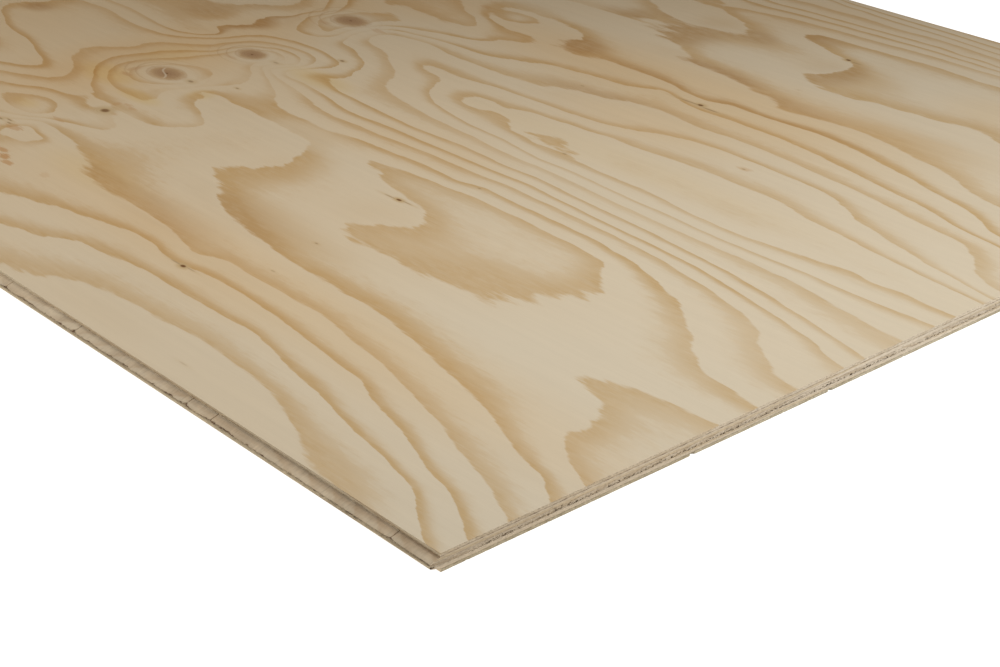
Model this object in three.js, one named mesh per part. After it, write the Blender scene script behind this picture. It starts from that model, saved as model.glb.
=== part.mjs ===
// A tongue-and-groove sheet of structural softwood plywood, lying face up.
//
// Five rotary-peeled veneers are glued in a hot press with the grain of each crossing
// the next. The glued blank is then milled along both long edges: a tapered tongue on
// one and the matching groove on the other. The two short ends are sawn square.
//
// Millimetres. +X runs along the sheet and along the grain of its face, +Y runs across
// it from the tongue to the groove, and +Z is up. The origin is under the middle of
// the sheet, on the plane of its underside.

import * as THREE from 'three';

// ---------------------------------------------------------------- driving dimensions

const SHEET_LENGTH = 2400;
const COVER_WIDTH = 1200; // width of floor that one sheet covers: shoulder to groove edge

const OUTER_PLY = 2.5; // face and back veneers, after sanding
const CROSSBAND_PLY = 3.25;
const CORE_PLY = 3.5;

const TONGUE_REACH = 9.5; // from the shoulder out to the tip
const TONGUE_ROOT = 9; // thickness where it leaves the shoulder
const TONGUE_TIP = 3.4; // thickness at the tip, before its corners are rounded
const TIP_ROUNDING = 1.2;

const SIDE_CLEARANCE = 0.25; // between each flank of a tongue and its groove
const END_CLEARANCE = 0.7; // between the tip of a tongue and the groove's floor
const FLOOR_ROUNDING = 1; // radius the cutter leaves in the corners of the groove

const ARC_STEPS = 8; // straight facets that stand for each rounded corner

// ------------------------------------------------------------------------- the plies

// Named colours of bare radiata pine. The sides of long fibres look pale. Cut ends of
// fibres drink in light, so the plies whose grain runs along the sheet show darker
// where the ends are sawn.
const SANDED_FACE = 0xcabd9f;
const PEELED_BACK = 0xc2b291;
const CROSS_GRAIN = 0xcdbf9d;
const LONG_GRAIN = 0xb8a682;

// From the underside up. The back, the core and the face have their grain along the
// sheet. The two crossbands have theirs across it.
const PLIES = [
  { name: 'back_veneer', thickness: OUTER_PLY, color: PEELED_BACK, roughness: 0.85 },
  { name: 'lower_crossband', thickness: CROSSBAND_PLY, color: CROSS_GRAIN, roughness: 0.8 },
  { name: 'core_veneer', thickness: CORE_PLY, color: LONG_GRAIN, roughness: 0.85 },
  { name: 'upper_crossband', thickness: CROSSBAND_PLY, color: CROSS_GRAIN, roughness: 0.8 },
  { name: 'face_veneer', thickness: OUTER_PLY, color: SANDED_FACE, roughness: 0.65 },
];

const sheetThickness = PLIES.reduce((sum, ply) => sum + ply.thickness, 0);
const midHeight = sheetThickness / 2;
const overallWidth = COVER_WIDTH + TONGUE_REACH;
const grooveEdgeY = overallWidth / 2;
const shoulderY = grooveEdgeY - COVER_WIDTH;

// ------------------------------------------------------------------ the milled edges

// Draws a straight line towards a corner and an arc that carries it round the corner.
function lineRoundCorner(path, from, corner, to, radius) {
  const arriving = corner.clone().sub(from).normalize();
  const leaving = to.clone().sub(corner).normalize();
  const turn = Math.atan2(arriving.cross(leaving), arriving.dot(leaving));
  const setback = radius * Math.tan(Math.abs(turn) / 2);
  const arcStart = corner.clone().addScaledVector(arriving, -setback);
  const towardsCentre = new THREE.Vector2(-arriving.y, arriving.x).multiplyScalar(Math.sign(turn));
  const centre = arcStart.clone().addScaledVector(towardsCentre, radius);
  const startAngle = Math.atan2(arcStart.y - centre.y, arcStart.x - centre.x);
  path.lineTo(arcStart.x, arcStart.y);
  path.absarc(centre.x, centre.y, radius, startAngle, startAngle + turn, turn < 0);
}

// One long edge of the sheet in section, from the underside up to the face, as points
// (across, up). It is plumb but for a trapezium about mid height, which stands out on
// the tongue side and is cut in on the groove side. `floorY` is where its narrow end is.
function milledEdge({ edgeY, floorY, mouth, floor, rounding }) {
  const lowMouth = new THREE.Vector2(edgeY, midHeight - mouth / 2);
  const lowFloor = new THREE.Vector2(floorY, midHeight - floor / 2);
  const highFloor = new THREE.Vector2(floorY, midHeight + floor / 2);
  const highMouth = new THREE.Vector2(edgeY, midHeight + mouth / 2);

  const path = new THREE.Path();
  path.moveTo(edgeY, 0);
  path.lineTo(lowMouth.x, lowMouth.y);
  lineRoundCorner(path, lowMouth, lowFloor, highFloor, rounding);
  lineRoundCorner(path, lowFloor, highFloor, highMouth, rounding);
  path.lineTo(highMouth.x, highMouth.y);
  path.lineTo(edgeY, sheetThickness);
  return path.getPoints(ARC_STEPS);
}

// The groove's flanks run parallel to the tongue's, so the clearance is even all along.
const flankTaper = (TONGUE_ROOT - TONGUE_TIP) / TONGUE_REACH;
const grooveDepth = TONGUE_REACH + END_CLEARANCE;
const grooveMouth = TONGUE_ROOT + 2 * SIDE_CLEARANCE;

const tongueEdge = milledEdge({
  edgeY: shoulderY,
  floorY: shoulderY - TONGUE_REACH,
  mouth: TONGUE_ROOT,
  floor: TONGUE_TIP,
  rounding: TIP_ROUNDING,
});

const grooveEdge = milledEdge({
  edgeY: grooveEdgeY,
  floorY: grooveEdgeY - grooveDepth,
  mouth: grooveMouth,
  floor: grooveMouth - flankTaper * grooveDepth,
  rounding: FLOOR_ROUNDING,
});

// ------------------------------------------------------- each ply between glue lines

// The point of a milled edge at a given height. The edge rises all the way.
function pointAtHeight(edge, height) {
  const above = Math.max(1, edge.findIndex((point) => point.y >= height));
  const low = edge[above - 1];
  const high = edge[above];
  const share = (height - low.y) / (high.y - low.y);
  return new THREE.Vector2(low.x + share * (high.x - low.x), height);
}

// The stretch of a milled edge between two glue lines, from the lower to the upper.
function edgeBetween(edge, bottom, top) {
  const between = edge.filter((point) => point.y > bottom && point.y < top);
  return [pointAtHeight(edge, bottom), ...between, pointAtHeight(edge, top)];
}

// A ply's section is closed by its own stretches of the two milled edges. Where a glue
// line meets a flank, the crossband thins out to a feather edge on the tongue.
function plySection(bottom, top) {
  const grooveSide = edgeBetween(grooveEdge, bottom, top);
  const tongueSide = edgeBetween(tongueEdge, bottom, top).reverse();
  return new THREE.Shape([...grooveSide, ...tongueSide]);
}

// The section's plane is (across, up). This turns it upright, square to the length.
const standAcrossSheet = new THREE.Matrix4().makeBasis(
  new THREE.Vector3(0, 1, 0),
  new THREE.Vector3(0, 0, 1),
  new THREE.Vector3(1, 0, 0),
);

function makePly(ply, bottom) {
  const section = plySection(bottom, bottom + ply.thickness);
  const geometry = new THREE.ExtrudeGeometry(section, {
    depth: SHEET_LENGTH,
    bevelEnabled: false,
  });
  geometry.translate(0, 0, -SHEET_LENGTH / 2);
  geometry.applyMatrix4(standAcrossSheet);

  const material = new THREE.MeshStandardMaterial({
    color: ply.color,
    roughness: ply.roughness,
    metalness: 0,
  });
  const mesh = new THREE.Mesh(geometry, material);
  mesh.name = ply.name;
  return mesh;
}

// ------------------------------------------------------------------------- the sheet

const sheet = new THREE.Group();
sheet.name = 'plywood_sheet';

let glueLine = 0;
for (const ply of PLIES) {
  sheet.add(makePly(ply, glueLine));
  glueLine += ply.thickness;
}

export default sheet;
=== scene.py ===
# %% [markdown]
# # A sheet of tongue-and-groove pine plywood
#
# The object is one flat sheet, 2.4 m by 1.2 m and 15 mm thick. Five veneers are peeled from a
# turning log, glued with the grain of each crossing the next, sanded on the face, sawn square
# at both ends, and milled along both long edges, a tongue on one and a groove on the other.
#
# Nearly everything that an eye reads as plywood is in two places. One is the figure of the
# face, where a knife has run in and out of the log's growth rings. The other is the edge,
# where sawn fibres, glue lines and torn pockets show. So this lesson spends its time there:
# first the growth rings as a field of numbers, then the five plies as meshes with real edges,
# then a finish for each way that the wood is cut.

import math

import bpy
import numpy as np
from mathutils import Matrix, Vector, noise


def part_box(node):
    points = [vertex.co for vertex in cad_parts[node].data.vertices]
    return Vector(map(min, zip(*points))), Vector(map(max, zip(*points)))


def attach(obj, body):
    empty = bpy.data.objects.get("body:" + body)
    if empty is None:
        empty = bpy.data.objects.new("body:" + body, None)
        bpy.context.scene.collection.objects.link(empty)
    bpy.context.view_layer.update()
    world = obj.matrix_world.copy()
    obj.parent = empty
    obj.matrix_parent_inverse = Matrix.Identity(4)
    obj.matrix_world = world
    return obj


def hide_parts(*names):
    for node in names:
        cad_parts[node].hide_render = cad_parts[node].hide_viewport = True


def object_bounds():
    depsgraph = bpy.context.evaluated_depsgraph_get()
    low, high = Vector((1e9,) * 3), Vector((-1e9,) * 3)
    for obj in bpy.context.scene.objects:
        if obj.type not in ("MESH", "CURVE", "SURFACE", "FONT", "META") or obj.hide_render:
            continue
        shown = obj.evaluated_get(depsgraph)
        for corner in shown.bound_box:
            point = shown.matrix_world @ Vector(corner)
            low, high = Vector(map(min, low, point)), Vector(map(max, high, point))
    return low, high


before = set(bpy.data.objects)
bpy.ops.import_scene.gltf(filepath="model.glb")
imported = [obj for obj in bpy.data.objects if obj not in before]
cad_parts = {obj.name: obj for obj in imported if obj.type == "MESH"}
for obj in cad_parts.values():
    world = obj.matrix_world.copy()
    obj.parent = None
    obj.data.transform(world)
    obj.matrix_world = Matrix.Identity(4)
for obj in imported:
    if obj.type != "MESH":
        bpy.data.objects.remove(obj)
cad_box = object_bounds()

MM = 0.001
scene = bpy.context.scene


def add_object(name, data):
    """A new object at the origin, linked to the scene."""
    thing = bpy.data.objects.new(name, data)
    scene.collection.objects.link(thing)
    return thing


def feed(tree, socket, value):
    """Feeds a node's input from another node's socket, or gives it a plain value."""
    if isinstance(value, bpy.types.NodeSocket):
        tree.links.new(value, socket)
    elif value is not None:
        socket.default_value = value


def add_node(tree, kind, feeds, **settings):
    """A new node. feeds says what goes into its inputs, each by its name or its place."""
    node = tree.nodes.new(kind)
    for setting, value in settings.items():
        setattr(node, setting, value)
    for name_or_place, value in feeds.items():
        feed(tree, node.inputs[name_or_place], value)
    return node


print("CAD nodes:", ", ".join(sorted(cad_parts)))

# %% [markdown]
# ## Sizes that come from the frame
#
# The CAD model already holds every real size, so none is typed again here. Two directions are
# named for the rest of the lesson: `run` is the distance along the sheet from the near sawn
# end, and `reach` is the distance across it from the tongue's shoulder. A place on the face is
# then given as a carpenter would give it, measured from the two edges of one corner.

# %% Read the sheet's edges and glue lines
PLY_NAMES = ("back_veneer", "lower_crossband", "core_veneer", "upper_crossband", "face_veneer")

face_low, face_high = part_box("face_veneer")
NEAR_END = face_high.x
FAR_END = face_low.x
SHOULDER = face_low.y
GROOVE_EDGE = face_high.y
TOP = face_high.z
SHEET_RUN = NEAR_END - FAR_END
SHEET_REACH = GROOVE_EDGE - SHOULDER


def milled_profile(node, side):
    """Heights and y places of a CAD ply's tongue side (-1) or groove side (+1), low to high."""
    ends = {
        (round(v.co.z, 6), round(v.co.y, 6))
        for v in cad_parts[node].data.vertices
        if v.co.y * side > 0
    }
    heights, places = zip(*sorted(ends))
    return np.array(heights), np.array(places)


print(f"sheet {SHEET_RUN:.3f} m long, {SHEET_REACH:.3f} m across the face, {TOP / MM:.1f} mm thick")
for ply in PLY_NAMES:
    low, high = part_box(ply)
    print(f"  {ply}: from {low.z / MM:.2f} to {high.z / MM:.2f} mm")

# %% [markdown]
# ## Camera
#
# The camera stands off the corner where the tongue meets the near end, a little above waist
# height if the sheet were on trestles, and looks along the sheet with a short telephoto lens.
# A camera could be aimed with a constraint, but three angles written out say more plainly
# where it looks: how far it is turned, how far it looks down, and its slight roll.

# %% Place the camera
CAMERA_PLACE = Vector((2.088, -1.315, 0.744))
CAMERA_TURN = math.radians(138.97)
CAMERA_DIP = math.radians(26.25)
CAMERA_ROLL = math.radians(0.07)
LENS = 71.85
SENSOR = 36.0


def aim(place, turn, dip, roll=0.0):
    """A matrix that stands at place and looks `turn` round from +X and `dip` below level."""
    forward = Vector((
        math.cos(turn) * math.cos(dip),
        math.sin(turn) * math.cos(dip),
        -math.sin(dip),
    ))
    right = forward.cross(Vector((0, 0, 1))).normalized()
    up = right.cross(forward)
    rolled_right = right * math.cos(roll) + up * math.sin(roll)
    rolled_up = up * math.cos(roll) - right * math.sin(roll)
    axes = Matrix((rolled_right, rolled_up, -forward)).transposed()
    return Matrix.Translation(place) @ axes.to_4x4()


camera_data = bpy.data.cameras.new("camera")
camera_data.lens = LENS
camera_data.sensor_width = SENSOR
camera = add_object("camera", camera_data)
camera.matrix_world = aim(CAMERA_PLACE, CAMERA_TURN, CAMERA_DIP, CAMERA_ROLL)
bpy.context.scene.camera = camera
sheet_corner = Vector((NEAR_END, SHOULDER, TOP))
print(f"camera stands {(CAMERA_PLACE - sheet_corner).length:.2f} m from the near corner")

# %% [markdown]
# ## Floor
#
# A studio shows raw timber on a plain pale floor. This one glows a little, so that it stays
# pale under the edge of the frame and throws light back up under the tongue. It can be seen
# through from below, which lets the back of the sheet be looked at too.

# %% Lay the floor
FLOOR_SIZE = 40.0
FLOOR_GAP = 0.0003  # under the sheet, so that the two don't flicker
WHITE = (1, 1, 1, 1)
FLOOR_LOOK = {
    "Base Color": (0.35, 0.35, 0.35, 1), "Roughness": 0.9,
    "Emission Color": WHITE, "Emission Strength": 0.95,
}


def glowing_floor():
    """White from above, and see-through from below."""
    material = bpy.data.materials.new("pale_floor")
    material.use_nodes = True
    material.cycles.emission_sampling = "NONE"  # a glow this close is smoother without
    tree = material.node_tree
    surface = tree.nodes["Principled BSDF"]
    for name, value in FLOOR_LOOK.items():
        surface.inputs[name].default_value = value
    from_below = add_node(tree, "ShaderNodeNewGeometry", {}).outputs["Backfacing"]
    clear = add_node(tree, "ShaderNodeBsdfTransparent", {})
    shaders = {"Fac": from_below, 1: surface.outputs["BSDF"], 2: clear.outputs["BSDF"]}
    see_through = add_node(tree, "ShaderNodeMixShader", shaders)
    tree.links.new(see_through.outputs["Shader"], tree.nodes["Material Output"].inputs["Surface"])
    return material


def add_floor():
    half = FLOOR_SIZE / 2
    corners = [(-half, -half), (half, -half), (half, half), (-half, half)]
    mesh = bpy.data.meshes.new("floor")
    mesh.from_pydata([(x, y, -FLOOR_GAP) for x, y in corners], [], [(0, 1, 2, 3)])
    mesh.materials.append(glowing_floor())
    floor = add_object("floor", mesh)


add_floor()
print(f"the floor is {FLOOR_SIZE:.0f} m square and {FLOOR_GAP / MM:.1f} mm under the sheet")

# %% [markdown]
# ## Light
#
# Large lamps give soft light, as a cloudy sky does. The main one hangs over the near half, so
# the light falls away along the sheet. A second stands low past the near end and picks out the
# sawn plies, a third lifts the far tongue side, and a fourth, high up beyond the near end,
# evens the face. A fifth is shuttered to the far half, so that it can be looked at from
# behind. A pale world fills in the rest. The plain view transform keeps the wood's own
# colours, where a filmic one bleaches them.

# %% Hang the lamps
WORLD_STRENGTH = 0.13
# name, place, aimed at, size in metres, watts, spread in degrees
LAMPS = [
    ("overhead_soft_box", (1.03, 0.04, 1.23), (1.69, -1.0, 0.0), 0.8, 10.0, 180),
    ("low_soft_box", (2.90, 1.30, 0.60), (1.20, 0.40, 0.0), 0.9, 48.0, 180),
    ("tongue_side_soft_box", (-0.10, -1.20, 1.00), (0.10, -0.60, 0.0), 0.8, 8.3, 180),
    ("high_soft_box", (1.90, 0.60, 1.40), (1.30, 0.20, 0.0), 0.9, 5.0, 180),
    ("far_soft_box", (-1.02, 0.00, 1.25), (-1.04, 0.02, 0.0), 0.8, 1.3, 75),
]


def add_lamp(name, place, target, size, watts, spread):
    data = bpy.data.lights.new(name, "AREA")
    data.shape = "SQUARE"
    data.size = size
    data.energy = watts
    data.spread = math.radians(spread)
    lamp = add_object(name, data)
    lamp.visible_camera = False
    way = Vector(target) - Vector(place)
    turn = math.atan2(way.y, way.x)
    dip = math.asin(-way.z / way.length)
    lamp.matrix_world = aim(Vector(place), turn, dip)
    print(f"{name}: {watts} W from {place[2]} m up")


scene.view_settings.view_transform = "Standard"
world = bpy.data.worlds.new("pale_room")
world.use_nodes = True
sky = world.node_tree.nodes["Background"]
sky.inputs["Color"].default_value = WHITE
sky.inputs["Strength"].default_value = WORLD_STRENGTH
scene.world = world
for lamp in LAMPS:
    add_lamp(*lamp)
# %% [markdown]
# ## The figure: growth rings as a field of numbers
#
# A peeling lathe unrolls the log like paper. Its knife keeps a steady radius while the log is
# never quite round or straight, so it wanders from one growth ring into the next and back. If
# every place on the veneer is given the number of rings between it and one chosen ring, then
# the figure is the map of that number: each whole number is the sharp edge where dark latewood
# stops and the next spring's pale wood starts, as a contour line on a map of hills.
#
# A noise texture can imitate that loosely, but it makes the same hills everywhere. Here the
# ring edges are drawn instead, as a grainer would draw them, and a smooth surface is
# stretched through them. Places are millimetres along (run) and across (reach).

# %% Draw the ring edges that give the face its figure
RING_EDGES = [
    # The rings that fall away from the tongue, from the shoulder inwards.
    (5, [(150, 0), (192, 22), (248, 43), (308, 52), (384, 57), (448, 51), (500, 49), (548, 39),
         (588, 13), (625, 4)]),
    (4, [(16, 0), (52, 20), (80, 40), (120, 50), (200, 64), (248, 76), (304, 85), (360, 97),
         (424, 96), (500, 97), (552, 94), (624, 83), (646, 70), (708, 50)]),
    (3, [(0, 24), (48, 51), (96, 65), (152, 86), (200, 98), (240, 113), (304, 121), (380, 130),
         (460, 134), (500, 131), (530, 127), (572, 134), (620, 130), (680, 117), (740, 100),
         (780, 86)]),
    (2, [(0, 60), (48, 82), (112, 105), (160, 120), (208, 133), (256, 144), (304, 152),
         (360, 160), (432, 161), (500, 162), (530, 151), (560, 157), (636, 167), (708, 167),
         (768, 175), (796, 192), (852, 212), (896, 218), (930, 214)]),
    (1, [(0, 100), (32, 120), (80, 134), (120, 150), (168, 166), (224, 178), (272, 190),
         (312, 199), (404, 202), (472, 205), (520, 214), (600, 226), (644, 254), (676, 268),
         (696, 282), (676, 306), (660, 320), (662, 350), (676, 380), (712, 398), (772, 401),
         (840, 400), (880, 401), (893, 393), (868, 372), (828, 354), (803, 334), (814, 318),
         (860, 298), (895, 287)]),
    (1, [(880, 282), (862, 270), (857, 256), (884, 242), (916, 230), (945, 214)]),
    # The two islands where the knife dipped under a whole ring.
    (0, [(0, 134), (36, 150), (62, 172), (66, 198), (88, 230), (128, 250), (100, 262),
         (48, 270), (0, 275)]),
    (0, [(272, 284), (320, 278), (380, 276), (440, 275), (490, 279), (497, 292), (474, 314),
         (452, 332), (455, 354), (476, 367), (520, 378), (575, 396), (606, 409), (560, 418),
         (472, 426), (400, 425), (328, 422), (280, 416), (256, 392), (236, 380), (224, 360),
         (240, 344), (256, 316)]),
    # The tight rings that climb to the crest along the middle of the sheet.
    (1, [(0, 318), (40, 323), (80, 334), (112, 362), (152, 390), (200, 417), (240, 430),
         (288, 438), (340, 444), (420, 446), (480, 449), (508, 442), (576, 443), (648, 439),
         (712, 430), (748, 429), (796, 433), (820, 444), (848, 462), (880, 476), (905, 488)]),
    (2, [(0, 364), (40, 374), (76, 402), (120, 430), (180, 446), (248, 458), (320, 464),
         (400, 468), (460, 470), (520, 467), (580, 467), (660, 462), (732, 460), (772, 464),
         (820, 476), (880, 487), (905, 497)]),
    (3, [(0, 417), (48, 436), (92, 446), (148, 458), (208, 469), (280, 475), (360, 479),
         (452, 487), (520, 485), (600, 484), (660, 484), (732, 481), (756, 483), (788, 491),
         (848, 498), (885, 503), (884, 516), (878, 530), (866, 548), (868, 566), (900, 578),
         (948, 580), (990, 572), (1014, 562), (1026, 548), (1034, 530), (1046, 512),
         (1058, 500), (1084, 482), (1124, 473), (1168, 472), (1228, 479), (1280, 473)]),
    (4, [(0, 444), (60, 458), (132, 474), (200, 485), (280, 493), (340, 497), (440, 503),
         (500, 503), (580, 506), (660, 503), (732, 507), (796, 512), (826, 522), (826, 545),
         (836, 566), (868, 598), (904, 612), (930, 618), (943, 640), (944, 664), (932, 688),
         (905, 698)]),
    (4, [(1090, 714), (1075, 705), (1059, 688), (1051, 666), (1054, 640), (1063, 622),
         (1071, 605), (1068, 588), (1058, 576), (1066, 564), (1078, 549), (1072, 536),
         (1055, 522), (1066, 508), (1090, 497), (1140, 494), (1188, 500), (1248, 500)]),
    (5, [(0, 490), (68, 500), (136, 512), (200, 514), (280, 516), (380, 520), (460, 526),
         (528, 526), (600, 532), (672, 536), (732, 545), (776, 563), (804, 598), (852, 624),
         (888, 638), (924, 666), (915, 679), (864, 689), (796, 683), (724, 683), (664, 688),
         (648, 700), (596, 714), (548, 729), (500, 732), (460, 727), (380, 729), (320, 724),
         (256, 717), (200, 709), (148, 699), (104, 692), (60, 664), (16, 632)]),
    (6, [(0, 534), (60, 531), (160, 533), (240, 531), (308, 535), (380, 538), (452, 543),
         (500, 541), (560, 550), (624, 552), (680, 562), (720, 578), (740, 600), (752, 622),
         (796, 632), (740, 642), (680, 650), (600, 653), (528, 659), (480, 678), (440, 692),
         (384, 696), (288, 692), (236, 684), (192, 660), (140, 644), (80, 628), (0, 612)]),
    (7, [(0, 562), (60, 564), (112, 565), (168, 559), (248, 552), (312, 555), (368, 562),
         (432, 562), (474, 565), (480, 578), (508, 587), (540, 594), (563, 583), (540, 575),
         (516, 568), (540, 566), (576, 574), (600, 590), (640, 597), (688, 600), (640, 610),
         (612, 624), (552, 631), (500, 636), (448, 636), (400, 641), (320, 638), (260, 636),
         (200, 624), (128, 613), (64, 604), (0, 598)]),
    # The rings that fall again beyond the crest, to the second low, one turn of the log on.
    (4, [(70, 709), (120, 717), (176, 733), (220, 740), (280, 753), (332, 760), (400, 766),
         (460, 768), (500, 766), (536, 774), (560, 781), (584, 770), (600, 763), (660, 755),
         (716, 743), (764, 720), (796, 711), (852, 708), (895, 700)]),
    (3, [(80, 728), (140, 757), (190, 770), (250, 786), (310, 801), (370, 806), (440, 802),
         (490, 801), (512, 792), (550, 797), (600, 805), (675, 805), (710, 795), (760, 791),
         (788, 778), (816, 762), (828, 745), (860, 732), (900, 718), (930, 706)]),
    (3, [(905, 818), (890, 810), (870, 803), (830, 798), (790, 797), (757, 800), (748, 804),
         (760, 812), (775, 817), (766, 827), (759, 838), (770, 850), (790, 858), (830, 864),
         (890, 863)]),
    (3, [(900, 818), (870, 818), (855, 823), (842, 832), (832, 840), (845, 847), (870, 852),
         (900, 851)]),
    (2, [(120, 785), (160, 794), (190, 810), (240, 825), (300, 838), (340, 844), (390, 839),
         (450, 833), (458, 846), (490, 854), (540, 865), (590, 871), (628, 876), (638, 881),
         (630, 888), (642, 897), (662, 906), (690, 912), (710, 917), (720, 929), (738, 939),
         (742, 948), (752, 950), (766, 942), (790, 938), (820, 936), (855, 934)]),
    (2, [(815, 1010), (800, 1003), (775, 992), (745, 984), (715, 980), (680, 987), (655, 994),
         (652, 1003), (665, 1020), (690, 1035), (720, 1046), (750, 1050), (780, 1050)]),
    (1, [(262, 940), (300, 931), (365, 925), (445, 916), (490, 925), (500, 940), (484, 966),
         (485, 1000), (500, 1015), (555, 1030), (597, 1049), (580, 1062), (515, 1067),
         (450, 1071), (390, 1071), (330, 1069)]),
    # The rings that climb again to the groove edge.
    (2, [(350, 1100), (420, 1100), (480, 1099), (530, 1094), (590, 1092), (650, 1086),
         (700, 1074), (725, 1070), (765, 1080)]),
    (3, [(360, 1115), (450, 1117), (540, 1114), (630, 1109), (705, 1101)]),
    (4, [(370, 1127), (480, 1132), (570, 1128), (650, 1126), (700, 1121)]),
    (5, [(395, 1150), (480, 1156), (540, 1152), (600, 1155), (690, 1150)]),
    (6, [(405, 1165), (480, 1171), (560, 1172), (660, 1182)]),
    (7, [(412, 1182), (500, 1186), (600, 1189), (650, 1191)]),
    # The whorl of branches, which every ring bends round.
    (1, [(920, 286), (956, 290), (970, 306), (1016, 334), (1044, 354), (1058, 376),
         (1058, 402), (1042, 442), (1021, 467), (1005, 484), (1001, 502), (993, 522),
         (976, 538), (950, 549), (925, 549), (905, 539), (901, 524)]),
    (1, [(966, 292), (988, 281), (1020, 272), (1044, 258), (1072, 246)]),
    (2, [(1105, 264), (1068, 282), (1044, 296), (1038, 310), (1052, 328), (1084, 346),
         (1104, 366), (1112, 378), (1100, 398), (1080, 420), (1078, 444), (1044, 478),
         (1024, 498), (1018, 518), (1004, 542), (980, 556), (948, 563), (915, 563),
         (893, 550), (888, 532), (897, 515), (903, 503)]),
    (3, [(1135, 278), (1104, 292), (1090, 308), (1108, 321), (1136, 330), (1156, 336),
         (1180, 343), (1204, 347), (1230, 348), (1252, 354), (1278, 365), (1312, 381)]),
    (0, [(903, 342), (912, 332), (936, 330), (972, 333), (1000, 342), (1022, 358),
         (1034, 378), (1031, 400), (1022, 420), (1011, 438), (1003, 455), (996, 472),
         (990, 486), (988, 500), (983, 514), (972, 528), (955, 537), (938, 537),
         (922, 530)]),
    (0, [(948, 224), (947, 248), (972, 259), (1000, 255), (1032, 234)]),
    (5, [(1092, 654), (1108, 644), (1122, 630), (1136, 613), (1150, 600)]),
    (3, [(962, 612), (975, 604), (990, 601), (1003, 603), (1016, 615), (1030, 634),
         (1037, 655), (1031, 674), (1037, 695), (1048, 712), (1063, 725)]),
    (2, [(950, 714), (958, 723), (972, 728), (986, 726), (1000, 717), (1011, 704),
         (1017, 690), (1023, 672), (1022, 655), (1012, 640), (992, 630), (972, 630)]),
    (3, [(918, 199), (900, 197), (884, 194), (875, 187), (880, 179), (890, 172), (903, 168),
         (915, 167)]),
    (2, [(878, 781), (896, 763), (940, 761), (1000, 757), (1024, 752)]),
    (2, [(878, 781), (904, 799), (944, 816)]),
]
ring_places = sum(len(edge) for _, edge in RING_EDGES)
print(len(RING_EDGES), "ring edges drawn with", ring_places, "places")

# %% [markdown]
# Between two ring edges the number may run on evenly, or the knife may have stayed just under
# the next ring for a long way, which leaves a wide brown patch with a soft edge. A few depths
# between rings say which, as a surveyor notes a spot height between two contours.

# %% Note the depths between rings
DEPTHS_BETWEEN = [
    # In the two islands near the tongue.
    (-0.10, 350, 292), (-0.16, 350, 315), (-0.24, 340, 336), (-0.45, 360, 352),
    (-0.52, 360, 375), (-0.50, 420, 385), (-0.35, 350, 405), (-0.30, 540, 400),
    (-0.12, 470, 300), (-0.10, 250, 360), (-0.45, 300, 370), (-0.20, 450, 310),
    (-0.55, 0, 205), (-0.25, 45, 190), (-0.12, 95, 255), (-0.35, 40, 240),
    # On the slope between the first island and the whorl.
    (0.80, 650, 300), (0.72, 625, 330), (0.50, 590, 320), (0.35, 560, 350), (0.35, 540, 310),
    (0.45, 560, 260), (1.45, 740, 330), (1.50, 740, 260), (1.35, 850, 380), (0.78, 800, 415),
    (0.80, 730, 414), (0.55, 640, 420), (0.55, 860, 430), (0.42, 865, 340),
    (0.62, 817, 335), (0.58, 842, 350), (0.55, 835, 318), (0.88, 884, 388), (0.50, 905, 375),
    # Along the crest, and the brown lens on it.
    (7.50, 100, 582), (7.65, 300, 592), (7.55, 450, 600), (7.35, 600, 608), (7.20, 650, 600),
    (6.90, 530, 583), (6.85, 705, 600),
    # Round the second island and the wide brown saddle beside it.
    (0.72, 330, 950), (0.78, 400, 940), (0.80, 470, 960), (0.75, 460, 1000), (0.35, 350, 1030),
    (0.40, 500, 1040), (0.30, 300, 1000), (0.80, 570, 1050), (1.45, 570, 960),
    (1.50, 560, 1010), (1.45, 630, 950), (1.90, 690, 950), (1.92, 625, 1000), (1.50, 400, 880),
    (1.40, 250, 890), (1.50, 600, 1075), (2.50, 720, 1015), (2.85, 720, 820), (2.55, 650, 832),
    (2.80, 810, 788), (1.45, 560, 905), (1.45, 620, 915), (1.88, 790, 950), (1.90, 770, 980),
    (1.35, 828, 975), (2.45, 600, 835), (2.50, 740, 870), (2.45, 820, 885), (2.92, 750, 822),
    (3.35, 800, 830), (2.50, 865, 836), (1.60, 660, 1045), (1.55, 700, 1065),
    # About the whorl.
    (2.45, 1131, 343), (2.45, 1163, 353), (2.45, 1200, 360), (2.45, 1250, 369),
    (2.50, 1290, 388), (2.35, 1180, 420), (2.35, 1150, 390), (2.80, 1290, 415), (2.60, 1250, 440),
    (4.80, 1150, 575), (4.85, 1120, 590), (4.40, 1100, 530), (4.75, 1180, 560),
    (1.35, 1000, 300), (2.40, 860, 775), (2.40, 850, 750), (0.40, 900, 256), (0.45, 880, 320),
    (5.50, 850, 655), (3.50, 850, 560), (3.45, 1010, 590), (3.20, 960, 596),
    (3.90, 1048, 588), (3.80, 1040, 586), (3.85, 1058, 560), (3.30, 1022, 570),
    (3.80, 1058, 608), (3.30, 1042, 640), (4.92, 1110, 560), (-0.70, 918, 400),
    (-0.80, 965, 456), (-0.55, 965, 246), (-0.50, 982, 243), (-0.15, 1006, 229), (3.25, 900, 183),
    (2.45, 855, 178), (2.45, 840, 155), (2.30, 895, 206), (2.50, 1045, 738), (2.50, 975, 615),
    # By the tongue.
    (5.40, 350, 22), (5.50, 350, 0), (5.35, 450, 20), (5.30, 250, 15),
]
print(len(DEPTHS_BETWEEN), "depths noted between rings")

# %% [markdown]
# ## Knots
#
# A pine puts out its branches in whorls, and a knife cuts each branch as a knot. The rings
# pinch in round it, because the trunk has grown out along the branch. A second whorl is put
# in further along, at the spacing that such a tree makes in a year or two.

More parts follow.
